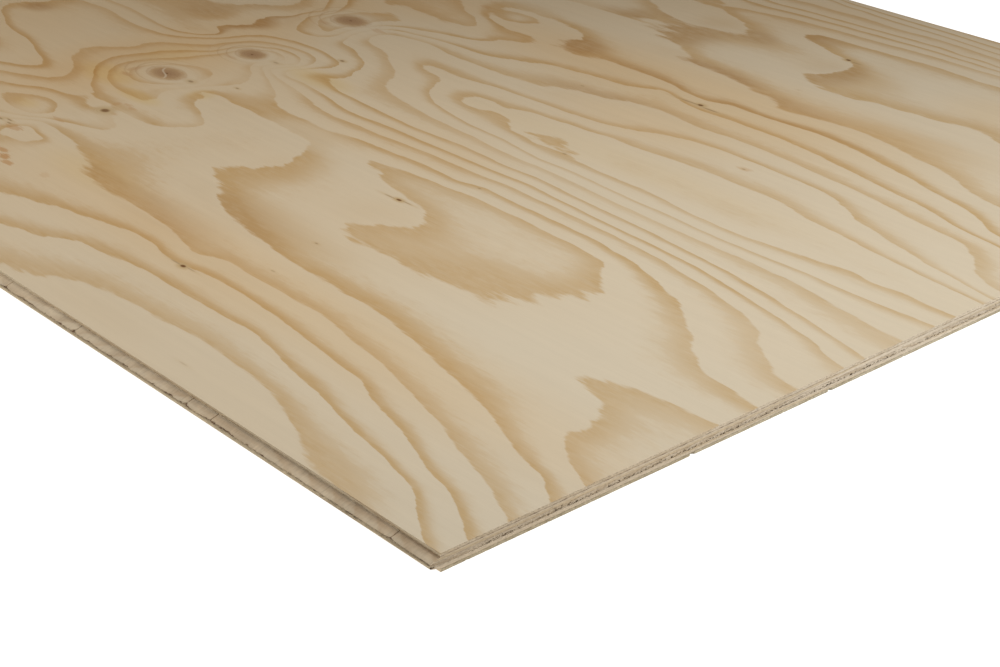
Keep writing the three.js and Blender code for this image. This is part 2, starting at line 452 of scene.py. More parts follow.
# %% Place the knots
# run and reach of the middle, half sizes along and across, rings pulled in, how far they fade
FACE_KNOTS = [
    (970, 401, 27, 17, 3.5, 38), (963, 512, 22, 15, 3.5, 34), (991, 675, 28, 18, 2.5, 34),
    (909, 285, 6, 5, 0.6, 12), (1822, 96, 22, 13, 3.0, 34), (1790, 318, 25, 15, 3.5, 38),
    (1836, 540, 12, 8, 1.2, 20), (1806, 742, 24, 14, 3.0, 36), (1778, 958, 20, 12, 2.5, 30),
]
LOG_TURN = 650.0  # millimetres peeled in one turn of the log
LOG_SWING = 4.1  # rings from the middle of that turn to its crest or its low
LOG_LEAN = 0.414  # how much wider the crests are than the lows
LOG_TAPER = 0.0014  # rings gained for each millimetre across
CREST = 600.0  # reach at which the rings stand highest
MEAN_RING = 3.6  # halfway between the crest and the low


def log_trend(run, reach):
    """Rings on a plain bent log: one crest and one low for each turn."""
    turn = 2 * np.pi * (reach - CREST) / LOG_TURN
    lean = LOG_LEAN * (np.cos(turn) - 1)
    return MEAN_RING + LOG_TAPER * (reach - CREST) + LOG_SWING * np.cos(turn + lean)


def knot_pull(knots, run, reach):
    """How many rings the knots pull the wood in, at each place."""
    pull = np.zeros_like(run, dtype=float)
    for middle_run, middle_reach, half_run, half_reach, rings, fade in knots:
        away = np.hypot((run - middle_run) / half_run, (reach - middle_reach) / half_reach)
        pull -= rings * np.exp(-away * half_run / fade)
    return pull


print(len(FACE_KNOTS), "knots in two whorls")

# %% [markdown]
# ## Stretch a surface through the rings
#
# A thin-plate spline is the shape that a springy sheet takes when it is pinned at scattered
# points, so it passes through every ring edge and bends as little as it can between them. The
# knots and the bent log are taken off first and added back after, so that the spline has only
# the gentle remainder to carry. Distances along the grain count for less than distances
# across it, because rings run on a long way in that direction.

# %% Fit the ring surface
GUIDE_SPACING = 60.0
GRAIN_STRETCH = 1.6
SPLINE_UNIT = 100.0
SPLINE_SLACK = 1e-4
LEAST_GAP = 1e-12  # keeps the logarithm off zero
ROWS_AT_ONCE = 4000


def walk_edge(places, spacing):
    """Points no further apart than spacing along a drawn edge."""
    points = [places[0]]
    for start, stop in zip(places[:-1], places[1:]):
        steps = max(1, math.ceil(math.dist(start, stop) / spacing))
        for step in range(1, steps + 1):
            share = step / steps
            points.append(tuple(a + share * (b - a) for a, b in zip(start, stop)))
    return points


def in_spline_units(run, reach):
    return np.stack([run / (GRAIN_STRETCH * SPLINE_UNIT), reach / SPLINE_UNIT], axis=-1)


def bending(squared_distance):
    """The thin-plate kernel, r squared times log r."""
    return 0.5 * squared_distance * np.log(np.maximum(squared_distance, LEAST_GAP))


def fit_spline(pins, heights):
    gaps = ((pins[:, None] - pins[None]) ** 2).sum(-1)
    kernel = bending(gaps) + SPLINE_SLACK * np.eye(len(pins))
    plane = np.c_[np.ones(len(pins)), pins]
    system = np.block([[kernel, plane], [plane.T, np.zeros((3, 3))]])
    return np.linalg.solve(system, np.r_[heights, np.zeros(3)])


def read_spline(pins, weights, places):
    heights = np.empty(len(places))
    for first in range(0, len(places), ROWS_AT_ONCE):
        rows = slice(first, first + ROWS_AT_ONCE)
        gaps = ((places[rows, None] - pins[None]) ** 2).sum(-1)
        plane = weights[-3] + places[rows] @ weights[-2:]
        heights[rows] = bending(gaps) @ weights[:-3] + plane
    return heights


guides = [(ring, *place) for ring, edge in RING_EDGES for place in walk_edge(edge, GUIDE_SPACING)]
guides = np.array(guides + DEPTHS_BETWEEN)
guide_rings, guide_run, guide_reach = guides.T
remainder = (
    guide_rings - log_trend(guide_run, guide_reach) - knot_pull(FACE_KNOTS, guide_run, guide_reach)
)
face_pins = in_spline_units(guide_run, guide_reach)
face_weights = fit_spline(face_pins, remainder)
print("spline pinned at", len(face_pins), "points, largest remainder",
      round(float(np.abs(remainder).max()), 1), "rings")

# %% [markdown]
# Past the second half of the sheet no ring is drawn, so the spline is faded out there and a
# slow wander takes over, with the second whorl in it. The log is the same, so the crests and
# lows stay in line.

# %% Ring numbers anywhere on the face
DRAWN_TO, WANDER_FROM, SPLINE_END = 1330.0, 1560.0, 1700.0
FAR_BEND = 26  # millimetres that the rings sway across the far half


def ease(low, high, value):
    """0 below low, 1 above high, smooth between."""
    share = np.clip((value - low) / (high - low), 0, 1)
    return share * share * (3 - 2 * share)


def slow_wander(run, reach):
    """Rings gained and lost where the knife runs in and out of a log that isn't straight."""
    sway = 1.1 * np.sin(run / 173 + 0.6) * np.sin(reach / 118 + 1.1)
    drift = 0.8 * np.sin(run / 331 - reach / 207 + 2.0)
    return sway + drift + 0.35 * np.sin(run / 71 + reach / 49)


def face_rings(run, reach):
    """The ring number at places on the face, in millimetres from the near tongue corner."""
    fade = ease(DRAWN_TO, WANDER_FROM, run)
    bent = reach + FAR_BEND * fade * np.sin(run / 240)
    held = np.minimum(run, SPLINE_END)
    drawn = read_spline(face_pins, face_weights, in_spline_units(held, reach))
    own = (1 - fade) * drawn + fade * slow_wander(run, reach)
    return own + log_trend(run, bent) + knot_pull(FACE_KNOTS, run, reach)


spot = face_rings(np.array([350.0, 530.0]), np.array([375.0, 583.0]))
print("ring numbers in the first island and on the crest:", spot.round(2))
# %% [markdown]
# ## A veneer as a mesh with real edges
#
# The CAD plies have the true outline, but only a handful of corners, so they can carry neither
# a ring number at every place nor a torn edge. Each ply is therefore rebuilt as one closed
# mesh between the same glue lines. Its rim is a grid that goes round all four sides, fine
# enough to be pitted and chipped. The face and the back also get a grid of cells, and a ply's
# glued sides, which nobody sees, are one flat polygon each.

# %% Set out the stations
NEAR_RUN, WHORL_RUN, DRAWN_RUN = 0.880, 1.090, 1.350
CELL, WHORL_CELL, FAR_CELL, REACH_CELL = 0.0055, 0.0035, 0.0110, 0.0060
FINE_SHARE = 4  # rim steps in each cell of the long sides where they are looked at closely
FINE_RUN = 0.70
END_SHARE = 6  # and in each cell of the two ends

# Places along the tongue where two sheets of the upper crossband meet, or where it is split.
CRACK_RUNS = (0.0447, 0.2674, 0.3018, 0.4710, 0.5878, 0.9342, 1.4065, 1.7713, 2.1289)
CRACK_HALF_WIDTH = 0.00045


def steps_between(start, stop, step):
    count = max(1, round((stop - start) / step))
    return list(np.linspace(start, stop, count + 1)[:-1])


run_cells = np.array(
    steps_between(0, NEAR_RUN, CELL)
    + steps_between(NEAR_RUN, WHORL_RUN, WHORL_CELL)
    + steps_between(WHORL_RUN, DRAWN_RUN, CELL)
    + steps_between(DRAWN_RUN, SHEET_RUN, FAR_CELL)
    + [SHEET_RUN]
)
reach_cells = np.array(steps_between(0, SHEET_REACH, REACH_CELL) + [SHEET_REACH])


def rim_steps(cells, share, fine_up_to, extra=()):
    """The rim's stations and where each cell starts in them. Cells are split into `share`
    steps up to a distance, and `extra` stations are added wherever they fall."""
    stations, starts = [], []
    for start, stop in zip(cells[:-1], cells[1:]):
        starts.append(len(stations))
        parts = share if start < fine_up_to else 1
        here = list(np.linspace(start, stop, parts + 1)[:-1])
        here += [place for place in extra if start < place < stop]
        stations += sorted(here)
    starts.append(len(stations))
    return np.array(stations + [cells[-1]]), starts


crack_stations = [
    crack + side * CRACK_HALF_WIDTH for crack in CRACK_RUNS for side in (-1, 0, 1)
]
run_fine, run_starts = rim_steps(run_cells, FINE_SHARE, FINE_RUN, crack_stations)
reach_fine, reach_starts = rim_steps(reach_cells, END_SHARE, SHEET_REACH)
print(len(run_cells) - 1, "by", len(reach_cells) - 1, "cells on the face,",
      2 * (len(run_fine) + len(reach_fine)) - 4, "steps round the rim")

# %% [markdown]
# The rim starts at the near end of the tongue side and goes anticlockwise, seen from above:
# up the near end, along the groove, down the far end and back along the tongue. Each point of
# it knows which side it is on and how far along that side it is.

# %% Walk once round the rim
NEAR_SIDE, GROOVE_SIDE, FAR_SIDE, TONGUE_SIDE = range(4)


def walk_rim():
    near = [(NEAR_SIDE, 0.0, reach) for reach in reach_fine[:-1]]
    groove = [(GROOVE_SIDE, run, SHEET_REACH) for run in run_fine[:-1]]
    far = [(FAR_SIDE, SHEET_RUN, reach) for reach in reach_fine[:0:-1]]
    tongue = [(TONGUE_SIDE, run, 0.0) for run in run_fine[:0:-1]]
    return near + groove + far + tongue


rim = walk_rim()
rim_side, rim_run, rim_reach = np.array(rim).T

# Where each side's own steps are in the rim, counted from the near end or from the tongue.
near_rim = np.arange(len(reach_fine))
groove_rim = len(reach_fine) - 1 + np.arange(len(run_fine))
far_rim = groove_rim[-1] + len(reach_fine) - 1 - np.arange(len(reach_fine))
tongue_rim = (far_rim[0] + len(run_fine) - 1 - np.arange(len(run_fine))) % len(rim)

# Which way each point goes when its edge is worn. The two near corners go both ways.
inward_x = 1.0 * (rim_side == FAR_SIDE) - (rim_side == NEAR_SIDE)
inward_y = 1.0 * (rim_side == TONGUE_SIDE) - (rim_side == GROOVE_SIDE)
inward_y[near_rim[0]] = 1.0
inward_x[groove_rim[0]] = -1.0
print(len(rim), "points round the rim of every ply")

# %% [markdown]
# A ply's rim is stood at several heights. At each height the CAD profile says where the
# tongue or the groove has its surface, so the flanks, the rounded tip and the feather edges
# come out where the cutter left them. `wear` then says how far each rim point is cut back
# into the wood. Nothing is ever pushed out, so the sheet keeps its exact size.

# %% Stand the rim at its heights
def rim_rings(name, heights, wear):
    """The rim's points at each height, after its wear, as an array (heights, points, 3)."""
    tongue_z, tongue_y = milled_profile(name, -1)
    groove_z, groove_y = milled_profile(name, 1)
    rings = []
    for height in heights:
        tongue = np.interp(height, tongue_z, tongue_y)
        groove = np.interp(height, groove_z, groove_y)
        cut = wear(height)
        x = NEAR_END - rim_run + inward_x * cut
        y = tongue + rim_reach / SHEET_REACH * (groove - tongue) + inward_y * cut
        rings.append(np.stack([x, y, np.full(len(x), height)], axis=1))
    return np.array(rings)


def rim_faces(levels):
    """Quads between the rim's rings, facing outwards."""
    around = len(rim)
    here = np.arange(around)
    there = (here + 1) % around
    faces = []
    for level in range(levels - 1):
        low, high = level * around, (level + 1) * around
        faces += np.stack([here + low, there + low, there + high, here + high], axis=1).tolist()
    return faces


print(len(rim_faces(2)), "quads between one height and the next")

# %% [markdown]
# A broad side that is left open to view needs points all over it, to hold the ring numbers.
# The grid's outer cells have to share every point of the fine rim, so that the ply is closed
# with no gap, and each of them takes in the rim's steps that lie along it as extra corners.

# %% Fill a broad side with cells
def sheet_cells(border, first_inner):
    """Faces of a grid that shares the rim's points `border` all round, seen from above."""
    across = len(reach_cells) - 1
    along = len(run_cells) - 1

    def corner(i, j):
        if i == 0:
            return border[near_rim[reach_starts[j]]]
        if i == along:
            return border[far_rim[reach_starts[j]]]
        if j == 0:
            return border[tongue_rim[run_starts[i]]]
        if j == across:
            return border[groove_rim[run_starts[i]]]
        return first_inner + (i - 1) * (across - 1) + (j - 1)

    def between(side_rim, starts, cell):
        return [border[k] for k in side_rim[starts[cell] + 1:starts[cell + 1]]]

    faces = []
    for i in range(along):
        for j in range(across):
            face = [corner(i, j)]
            if i == 0:
                face += between(near_rim, reach_starts, j)
            face.append(corner(i, j + 1))
            if j == across - 1:
                face += between(groove_rim, run_starts, i)
            face.append(corner(i + 1, j + 1))
            if i == along - 1:
                face += between(far_rim, reach_starts, j)[::-1]
            face.append(corner(i + 1, j))
            if j == 0:
                face += between(tongue_rim, run_starts, i)[::-1]
            faces.append(face)
    return faces


def inner_points(height):
    run, reach = np.meshgrid(run_cells[1:-1], reach_cells[1:-1], indexing="ij")
    x = NEAR_END - run.ravel()
    y = SHOULDER + reach.ravel()
    return np.stack([x, y, np.full(len(x), height)], axis=1)


print(len(inner_points(TOP)), "points inside a broad side, between the rim's own")

# %% [markdown]
# The rim and the two broad sides then make one closed mesh. It stands in for its CAD solid,
# rides on the same body, and carries numbers at its points for a finish to read.

# %% Build one ply
def make_ply(name, node, heights, wear, grid=None):
    """One closed ply. grid is "top" or "bottom" for the side that is left open to view."""
    rings = rim_rings(node, heights, wear)
    around = len(rim)
    points = [rings.reshape(-1, 3)]
    low_border = list(range(around))
    high_border = [k + (len(heights) - 1) * around for k in range(around)]
    faces = rim_faces(len(heights))
    rim_face_count = len(faces)
    first_inner = around * len(heights)
    if grid == "top":
        faces += sheet_cells(high_border, first_inner)
        points.append(inner_points(heights[-1]))
        faces.append(low_border[::-1])
    elif grid == "bottom":
        faces += [cell[::-1] for cell in sheet_cells(low_border, first_inner)]
        points.append(inner_points(heights[0]))
        faces.append(high_border)
    else:
        faces += [low_border[::-1], high_border]
    mesh = bpy.data.meshes.new(name)
    mesh.from_pydata(np.concatenate(points).tolist(), [], faces)
    mesh.validate()
    piece = add_object(name, mesh)
    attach(piece, "root")
    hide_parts(node)
    print(f"{name}: {len(mesh.vertices)} points, {len(mesh.polygons)} faces")
    return piece, rim_face_count


def places_of(mesh):
    spots = np.empty(len(mesh.vertices) * 3)
    mesh.vertices.foreach_get("co", spots)
    return spots.reshape(-1, 3)


def write_numbers(piece, name, values):
    """Stores one number at every point of a piece, for its finish to read."""
    attribute = piece.data.attributes.new(name, "FLOAT", "POINT")
    attribute.data.foreach_set("value", np.asarray(values, dtype=np.float32))


print("sides are numbered near", NEAR_SIDE, "groove", GROOVE_SIDE, "far", FAR_SIDE,
      "tongue", TONGUE_SIDE)

# %% [markdown]
# ## Wear along the edges
#
# A saw leaves wood in three states. Along the grain it planes the fibres nearly smooth. Across
# the grain it cuts them off, and they tear out here and there: most of all in the soft core,
# and along the bottom arris, where the teeth leave the sheet with nothing behind the wood. At
# a glue line both plies break back a little. Each is a rule for how deep the rim is cut back
# at a place, and a ply's wear is a sum of such rules.

# %% Rules for a torn edge
def speckle(across, up, seed):
    """Smooth random numbers between about -1 and 1 at scattered places."""
    return np.array([
        noise.noise(Vector((a, b, seed))) for a, b in np.broadcast(across, up)
    ])


is_end = (rim_side == NEAR_SIDE) | (rim_side == FAR_SIDE)
on_tongue = rim_side == TONGUE_SIDE
rim_along = np.where(is_end, rim_reach, rim_run)
SAW_GRAZE = 0.12 * MM
GLUE_LIP_HEIGHT, GLUE_LIP_DEPTH = 0.20 * MM, 0.40 * MM


def along(length):
    """Places along the rim's sides, counted in lengths of so many millimetres."""
    return rim_along / (length * MM)


def grazed(height, seed):
    """Fine roughness that every cut edge has."""
    rough = speckle(along(1.9), height / (0.5 * MM), seed)
    return SAW_GRAZE * (0.5 + 0.5 * rough)


def glue_lip(height, glue_line, seed):
    """A small broken groove at a glue line."""
    near = 1 - ease(0, GLUE_LIP_HEIGHT, abs(height - glue_line))
    broken = ease(-0.3, 0.5, speckle(along(6), 0.0, seed))
    return GLUE_LIP_DEPTH * near * broken


def pockets(height, seed, length, thickness, depth, share):
    """Fibre bundles torn out: low holes, sized in millimetres, on about `share` of the edge."""
    length, thickness = length * MM, thickness * MM
    lumps = speckle(rim_along / length, height / thickness, seed)
    lumps += 0.6 * speckle(rim_along / (length * 0.45), height / (thickness * 0.7), seed + 7)
    return depth * MM * ease(1 - share, 1.2 - share, 0.5 + 0.5 * lumps)


def band(height, middle, half_height):
    """1 at a height, falling to 0 half a band away from it."""
    return 1 - ease(0, half_height, abs(height - middle))


print("every edge is cut back by", SAW_GRAZE / MM, "mm or less, before its pockets")

# %% [markdown]
# The tongue's cutter leaves each crossband with an edge as thin as a knife, where the flank
# crosses a glue line. That feather edge does not survive handling. It is broken back by a
# millimetre or two, in teeth as wide as the fibre bundles, and the brown glue that lay under
# it shows as a dark ragged line along the tongue.

# %% Break the feather edge of a crossband
def feather_break(node, glue_line, seed):
    """A wear rule: how deep a crossband's feather edge is broken back at each height."""
    profile_z, profile_y = milled_profile(node, -1)
    tip = np.interp(glue_line, profile_z, profile_y)
    slow = np.maximum(0, speckle(along(38), 0.0, seed))
    teeth = np.maximum(0, speckle(along(5), 0.0, seed + 1))
    bundles = np.abs(speckle(along(1.3), 0.0, seed + 2))
    kept = 0.12 + 0.88 * ease(0.12, 0.20, rim_along)
    broken = MM * (0.10 + 2.8 * slow + 2.4 * teeth + 1.1 * bundles) * kept
    for crack in CRACK_RUNS:
        broken += 1.5 * MM * np.exp(-np.abs(rim_along - crack) / (4 * MM))

    def wear(height):
        thick = np.interp(height, profile_z, profile_y) - tip
        return np.maximum(0, broken - thick) * on_tongue

    return wear


def split_across(depth):
    """Wear at the cracks in the upper crossband, which run along its own grain."""
    nearest = np.min([np.abs(rim_run - crack) for crack in CRACK_RUNS], axis=0)
    return depth * (nearest < 0.5 * CRACK_HALF_WIDTH) * on_tongue


print("the crossband is split in", len(CRACK_RUNS), "places along the tongue")
# %% [markdown]
# ## Writing a finish in nodes
#
# A finish is a small graph, and a graph is easier to read as sentences. These helpers each
# add one node and return the socket that comes out of it, so that a finish below reads from
# top to bottom: take the ring number, roughen it along the fibres, turn it into latewood, and
# colour it. Constant values sit on the shader's own sockets.

# %% Helpers for finishes
class Finish:
    """One material's node graph."""

    def __init__(self, name):
        self.material = bpy.data.materials.new(name)
        self.material.use_nodes = True
        self.tree = self.material.node_tree
        self.surface = self.tree.nodes["Principled BSDF"]
        self.place = self.add("ShaderNodeTexCoord").outputs["Object"]

    def add(self, kind, feeds=(), **settings):
        return add_node(self.tree, kind, dict(enumerate(feeds)), **settings)

    def feed(self, socket, value):
        feed(self.tree, socket, value)

    def number(self, attribute):
        return self.add("ShaderNodeAttribute", attribute_name=attribute).outputs["Fac"]

    def math(self, operation, first, second=None, third=None):
        feeds = (first, second, third)
        return self.add("ShaderNodeMath", feeds, operation=operation).outputs[0]

    def sum(self, *terms):
        total = terms[0]
        for term in terms[1:]:
            total = self.math("ADD", total, term)
        return total

    def times(self, value, factor):
        return self.math("MULTIPLY", value, factor)

    def vector(self, operation, first, second=None, third=None):
        node = self.add("ShaderNodeVectorMath", (first, second, third), operation=operation)
        return node.outputs["Value" if operation in ("LENGTH", "DOT_PRODUCT") else "Vector"]

    def noise(self, scale, detail=2.0, roughness=0.5, shift=(0, 0, 0)):
        """Smooth noise, mostly between -0.25 and 0.25. Scale is features per metre each way."""
        place = self.vector("MULTIPLY", self.vector("ADD", self.place, shift), scale)
        feeds = {"Vector": place, "Scale": 1.0, "Detail": detail, "Roughness": roughness}
        node = add_node(self.tree, "ShaderNodeTexNoise", feeds)
        return self.math("SUBTRACT", node.outputs["Fac"], 0.5)

    def curve(self, value, *stops):
        """Reads a value off straight lines between (value, result) stops from 0 to 1."""
        node = self.add("ShaderNodeValToRGB")
        ramp = node.color_ramp
        while len(ramp.elements) < len(stops):
            ramp.elements.new(0.5)
        for element, (place, result) in zip(ramp.elements, stops):
            element.position = place
            element.color = (result, result, result, 1)
        self.feed(node.inputs["Fac"], value)
        return node.outputs["Color"]

    def spread(self, value, low, high, to_low=0.0, to_high=1.0, how="LINEAR"):
        """A value carried from one range to another, and held at its ends."""
        feeds = (value, low, high, to_low, to_high)
        node = self.add("ShaderNodeMapRange", feeds, interpolation_type=how)
        return node.outputs["Result"]

    def smooth(self, *feeds):
        return self.spread(*feeds, how="SMOOTHSTEP")

    def mix(self, share, first, second, how="MIX", kind="RGBA"):
        """Two colours, or two vectors, mixed. The node's last two inputs of a kind are they."""
        node = self.add("ShaderNodeMix", data_type=kind, blend_type=how)
        ends = [socket for socket in node.inputs if socket.type == kind][-2:]
        self.feed(node.inputs["Factor"], share)
        self.feed(ends[0], first)
        self.feed(ends[1], second)
        return next(socket for socket in node.outputs if socket.type == kind)

    def tinted(self, share, colour, tint):
        return self.mix(share, colour, self.mix(1.0, colour, tint, "MULTIPLY"))

    def toned(self, colour, tone):
        """The colour made lighter or darker by a number near 1."""
        feeds = {"Vector": colour, "Scale": tone}
        node = add_node(self.tree, "ShaderNodeVectorMath", feeds, operation="SCALE")
        return node.outputs["Vector"]

    def bump(self, height, distance, strength):
        feeds = {"Height": height, "Distance": distance, "Strength": strength}
        node = add_node(self.tree, "ShaderNodeBump", feeds)
        self.feed(self.surface.inputs["Normal"], node.outputs["Normal"])

    def close(self, colour, roughness, gloss):
        self.feed(self.surface.inputs["Base Color"], colour)
        self.feed(self.surface.inputs["Roughness"], roughness)
        self.surface.inputs["Specular IOR Level"].default_value = gloss
        return self.material


helpers = [name for name in vars(Finish) if not name.startswith("_")]
print("a finish can use", ", ".join(helpers))

# %% [markdown]
# Colours are written as a screen shows them, from 0 to 255, because that is how a maker would
# compare them with a sample of the wood. The shader wants them straightened, so that twice the
# number is twice the light. Sawn fibre ends are the darkest and greyest wood on the sheet, and
# glue and knots the darkest of all.

# %% Mix the colours of bare pine
def paint(red, green, blue):
    """A colour as it looks on a screen, 0 to 255, in the numbers that the shader needs."""
    def straighten(level):
        level /= 255
        return level / 12.92 if level <= 0.04045 else ((level + 0.055) / 1.055) ** 2.4

    return (straighten(red), straighten(green), straighten(blue), 1.0)


PALE_WOOD = paint(207, 192, 166)
BROWN_WOOD = paint(190, 161, 116)
# A warmer, slightly darker tint away from the near end: heartwood tone and a painted fall of the
# light.
HEARTWOOD_AND_FALLOFF_TINT = paint(255, 240, 219)
WARM_TINT = paint(255, 243, 224)
GOLD_TINT = paint(255, 248, 222)
DEEP_BROWN = paint(172, 138, 92)
KNOT_WOOD = paint(184, 151, 110)
KNOT_DARK = paint(153, 116, 80)
KNOT_RING = paint(162, 117, 72)
MARK_BROWN = paint(112, 74, 36)
RESIN = paint(184, 138, 88)
GLUE = paint(88, 62, 42)
GLUED_FIBRES = paint(128, 98, 70)
END_WOOD = paint(174, 161, 141)
END_BROWN = paint(147, 127, 98)
CORE_END_WOOD = paint(168, 155, 136)
CORE_END_BROWN = paint(142, 123, 95)
BACK_END_WOOD = paint(160, 150, 128)
BACK_END_BROWN = paint(133, 121, 94)
BAND_WOOD = paint(176, 163, 143)
BAND_BROWN = paint(161, 143, 113)
FLANK_WOOD = paint(207, 188, 159)
FLANK_BROWN = paint(192, 166, 133)
SIDE_WOOD = paint(217, 199, 167)
SIDE_BROWN = paint(190, 161, 121)
# Painted shade in the corner at the tongue's root, together with the cutter's brown.
ROOT_SHADE_BROWN = paint(146, 108, 68)
TIP_WOOD = paint(192, 173, 141)
TIP_BROWN = paint(166, 145, 114)
print("colours of bare pine: pale", [round(c, 2) for c in PALE_WOOD[:3]],
      "brown", [round(c, 2) for c in BROWN_WOOD[:3]])

# %% [markdown]
# ## The sanded face
#
# On the real sheet one knife cut shows everything: pale springwood, brown latewood that comes
# in over a third of each ring and stops dead at its edge, fibres that make that edge ragged
# wherever the cut runs nearly level with the ring, and the reddish wood of the knots. The
# ring number on the mesh carries the large shapes. Noise stretched along the grain then
# roughens the number itself rather than the colour, so an edge frays most where the ring is
# cut at the flattest slant, exactly as real fibres do. Some years made a stronger ring than
# others, so each whole number also gets a strength of its own.

# %% Latewood from a ring number
# Noise that frays a ring's edge: features per metre each way, detail, roughness, where the
# noise is read, and how many rings it moves the edge by.
FRAYING = [
    ((16, 80, 60), 3.0, 0.5, (0, 0, 0), 0.22),
    ((40, 300, 60), 2.0, 0.6, (3, 1, 0), 0.07),
    ((90, 1100, 60), 2.0, 0.6, (5, 2, 0), 0.045),
]
# How brown the wood is on its way through a ring, where the cut is plain and where it is broad.
PLAIN_RING = [
    (0.0, 0.05), (0.02, 0.0), (0.42, 0.0), (0.56, 0.09), (0.66, 0.28), (0.75, 0.60),
    (0.84, 0.84), (0.92, 0.97), (0.97, 1.0), (1.0, 0.10),
]
BROAD_RING = [
    (0.0, 0.14), (0.02, 0.10), (0.20, 0.30), (0.45, 0.56), (0.68, 0.80), (0.86, 1.0),
    (0.97, 1.0), (1.0, 0.16),
]
YEAR_SHUFFLE = 7.3  # makes a second random number out of a year's first
FAINT_YEAR, STRONG_YEAR = 0.74, 1.06
EARLY_YEAR, LATE_YEAR = 0.70, 1.30


def from_place(finish, run, reach, half_run, half_reach):
    """The way from a place given in millimetres, in a mark's own half sizes."""
    middle = (NEAR_END - run * MM, SHOULDER + reach * MM, 0)
    scale = (1 / (half_run * MM), 1 / (half_reach * MM), 0)
    start = [-place * share for place, share in zip(middle, scale)]
    return finish.vector("MULTIPLY_ADD", finish.place, scale, start)


def latewood(finish, rings, broad):
    """How brown the wood is, 0 to 1, from the ring number roughened along the fibres."""
    frays = [finish.times(finish.noise(*where), moved) for *where, moved in FRAYING]
    ragged = finish.sum(rings, *frays)
    number = {"W": finish.math("FLOOR", ragged)}
    year = add_node(finish.tree, "ShaderNodeTexWhiteNoise", number, noise_dimensions="1D")
    year = year.outputs["Value"]
    strength = finish.spread(year, 0, 1, FAINT_YEAR, STRONG_YEAR)
    along_ring = finish.math("FRACT", ragged)
    streaks = finish.noise((22, 520, 1), 3.0, 0.6, shift=(8, 0, 0))
    mottle = finish.noise((55, 170, 1), 3.0, 0.6, shift=(1, 6, 0))

    # Latewood starts sooner in some years than in others, and its start is frayed too.
    onset = finish.math("FRACT", finish.times(year, YEAR_SHUFFLE))
    onset = finish.spread(onset, 0, 1, EARLY_YEAR, LATE_YEAR)
    onset = finish.sum(onset, finish.times(streaks, 0.9), finish.times(mottle, 1.2))
    along_ring = finish.math("POWER", along_ring, onset)
    plain = finish.curve(along_ring, *PLAIN_RING)
    brown = finish.mix(broad, plain, finish.curve(along_ring, *BROAD_RING))
    uneven = finish.sum(finish.times(streaks, 0.8), finish.times(mottle, 0.9), 1.0)
    return finish.times(finish.times(brown, uneven), strength)


# %% [markdown]
# Knots are placed by the same list that bent the rings. For every point of the surface the
# graph finds the nearest knot, measured in that knot's own half sizes, so a distance of 1 is
# its rim. That one number then gives its red-brown wood, its fine rings, the pale collar
# round it and the dark pith. Pin knots are small enough to be plain dark marks, each in a
# faint tan halo. Where a knot turns the fibres on end, the rings round it fade.

# %% Knots and small marks
# run, reach, half length, half width, how dark
FACE_MARKS = [
    (513, 127, 3.6, 2.2, 1.0), (524, 127, 9, 1.0, 0.35), (502, 128, 7, 0.9, 0.30),
    (508, 367, 3.8, 1.8, 1.0), (520, 366, 9, 0.9, 0.40), (497, 368, 8, 0.9, 0.40),
    (505, 778, 3.8, 2.4, 1.0), (520, 777, 16, 1.4, 0.40), (488, 775, 12, 1.4, 0.45),
    (500, 1016, 3.4, 2.2, 1.0), (488, 1014, 10, 1.1, 0.35),
    (909, 285, 6.0, 4.5, 0.80), (929, 406, 4.6, 2.4, 0.50), (920, 515, 5.0, 2.0, 0.30),
    (476, 246, 2.6, 1.0, 0.40), (452, 181, 3.0, 0.9, 0.28), (480, 444, 2.6, 1.2, 0.35),
    (494, 569, 3.2, 1.4, 0.35), (347, 675, 2.6, 1.2, 0.40), (876, 432, 2.8, 1.3, 0.50),
    (876, 576, 3.4, 2.0, 0.65), (961, 189, 5.0, 1.2, 0.50), (950, 194, 5.0, 1.0, 0.55),
    (942, 189, 4.0, 1.2, 0.45), (469, 895, 2.4, 1.2, 0.12), (634, 725, 3.0, 1.2, 0.30),
    (352, 23, 6.0, 1.0, 0.15),
    (1512, 412, 3.8, 2.4, 0.9), (1498, 866, 3.6, 2.4, 0.8), (2071, 233, 3.8, 2.6, 0.9),
    (2103, 640, 3.4, 2.2, 0.8),
]
# Resin and reddish fibres.
FACE_STREAKS = [
    (1008, 383, 5, 10, 0.60), (999, 366, 9, 4, 0.55), (842, 132, 11, 4, 0.70),
    (858, 138, 10, 5, 0.85), (876, 146, 10, 4, 0.75), (927, 187, 13, 6, 0.50),
    (347, 676, 9, 4, 0.25), (926, 836, 9, 5, 0.40), (1793, 300, 7, 10, 0.45),
    (894, 310, 7, 3, 0.35), (907, 313, 8, 2.5, 0.35), (919, 305, 4, 6, 0.35),
    (896, 287, 8, 2.5, 0.35), (937, 676, 12, 5, 0.40), (972, 488, 13, 3, 0.45),
    (1007, 648, 11, 4, 0.45), (786, 143, 7, 5, 0.20), (918, 233, 12, 3, 0.35),
]
# Where the pale lip of a drying split crosses a knot.
FACE_SPLITS = [(970, 401, 27, 17, 1.0), (1790, 318, 25, 15, 0.8)]
print(len(FACE_MARKS), "small marks,", len(FACE_STREAKS), "streaks and", len(FACE_SPLITS), "splits")

# %% [markdown]
# Wood is not the same all over, so five more lists say where it differs. Each place is an
# ellipse that fades at its rim, and has a strength. A noise could scatter such patches, but
# they belong to the log: latewood is dark along one side of a crest, and resin warms the wood
# about a whorl.

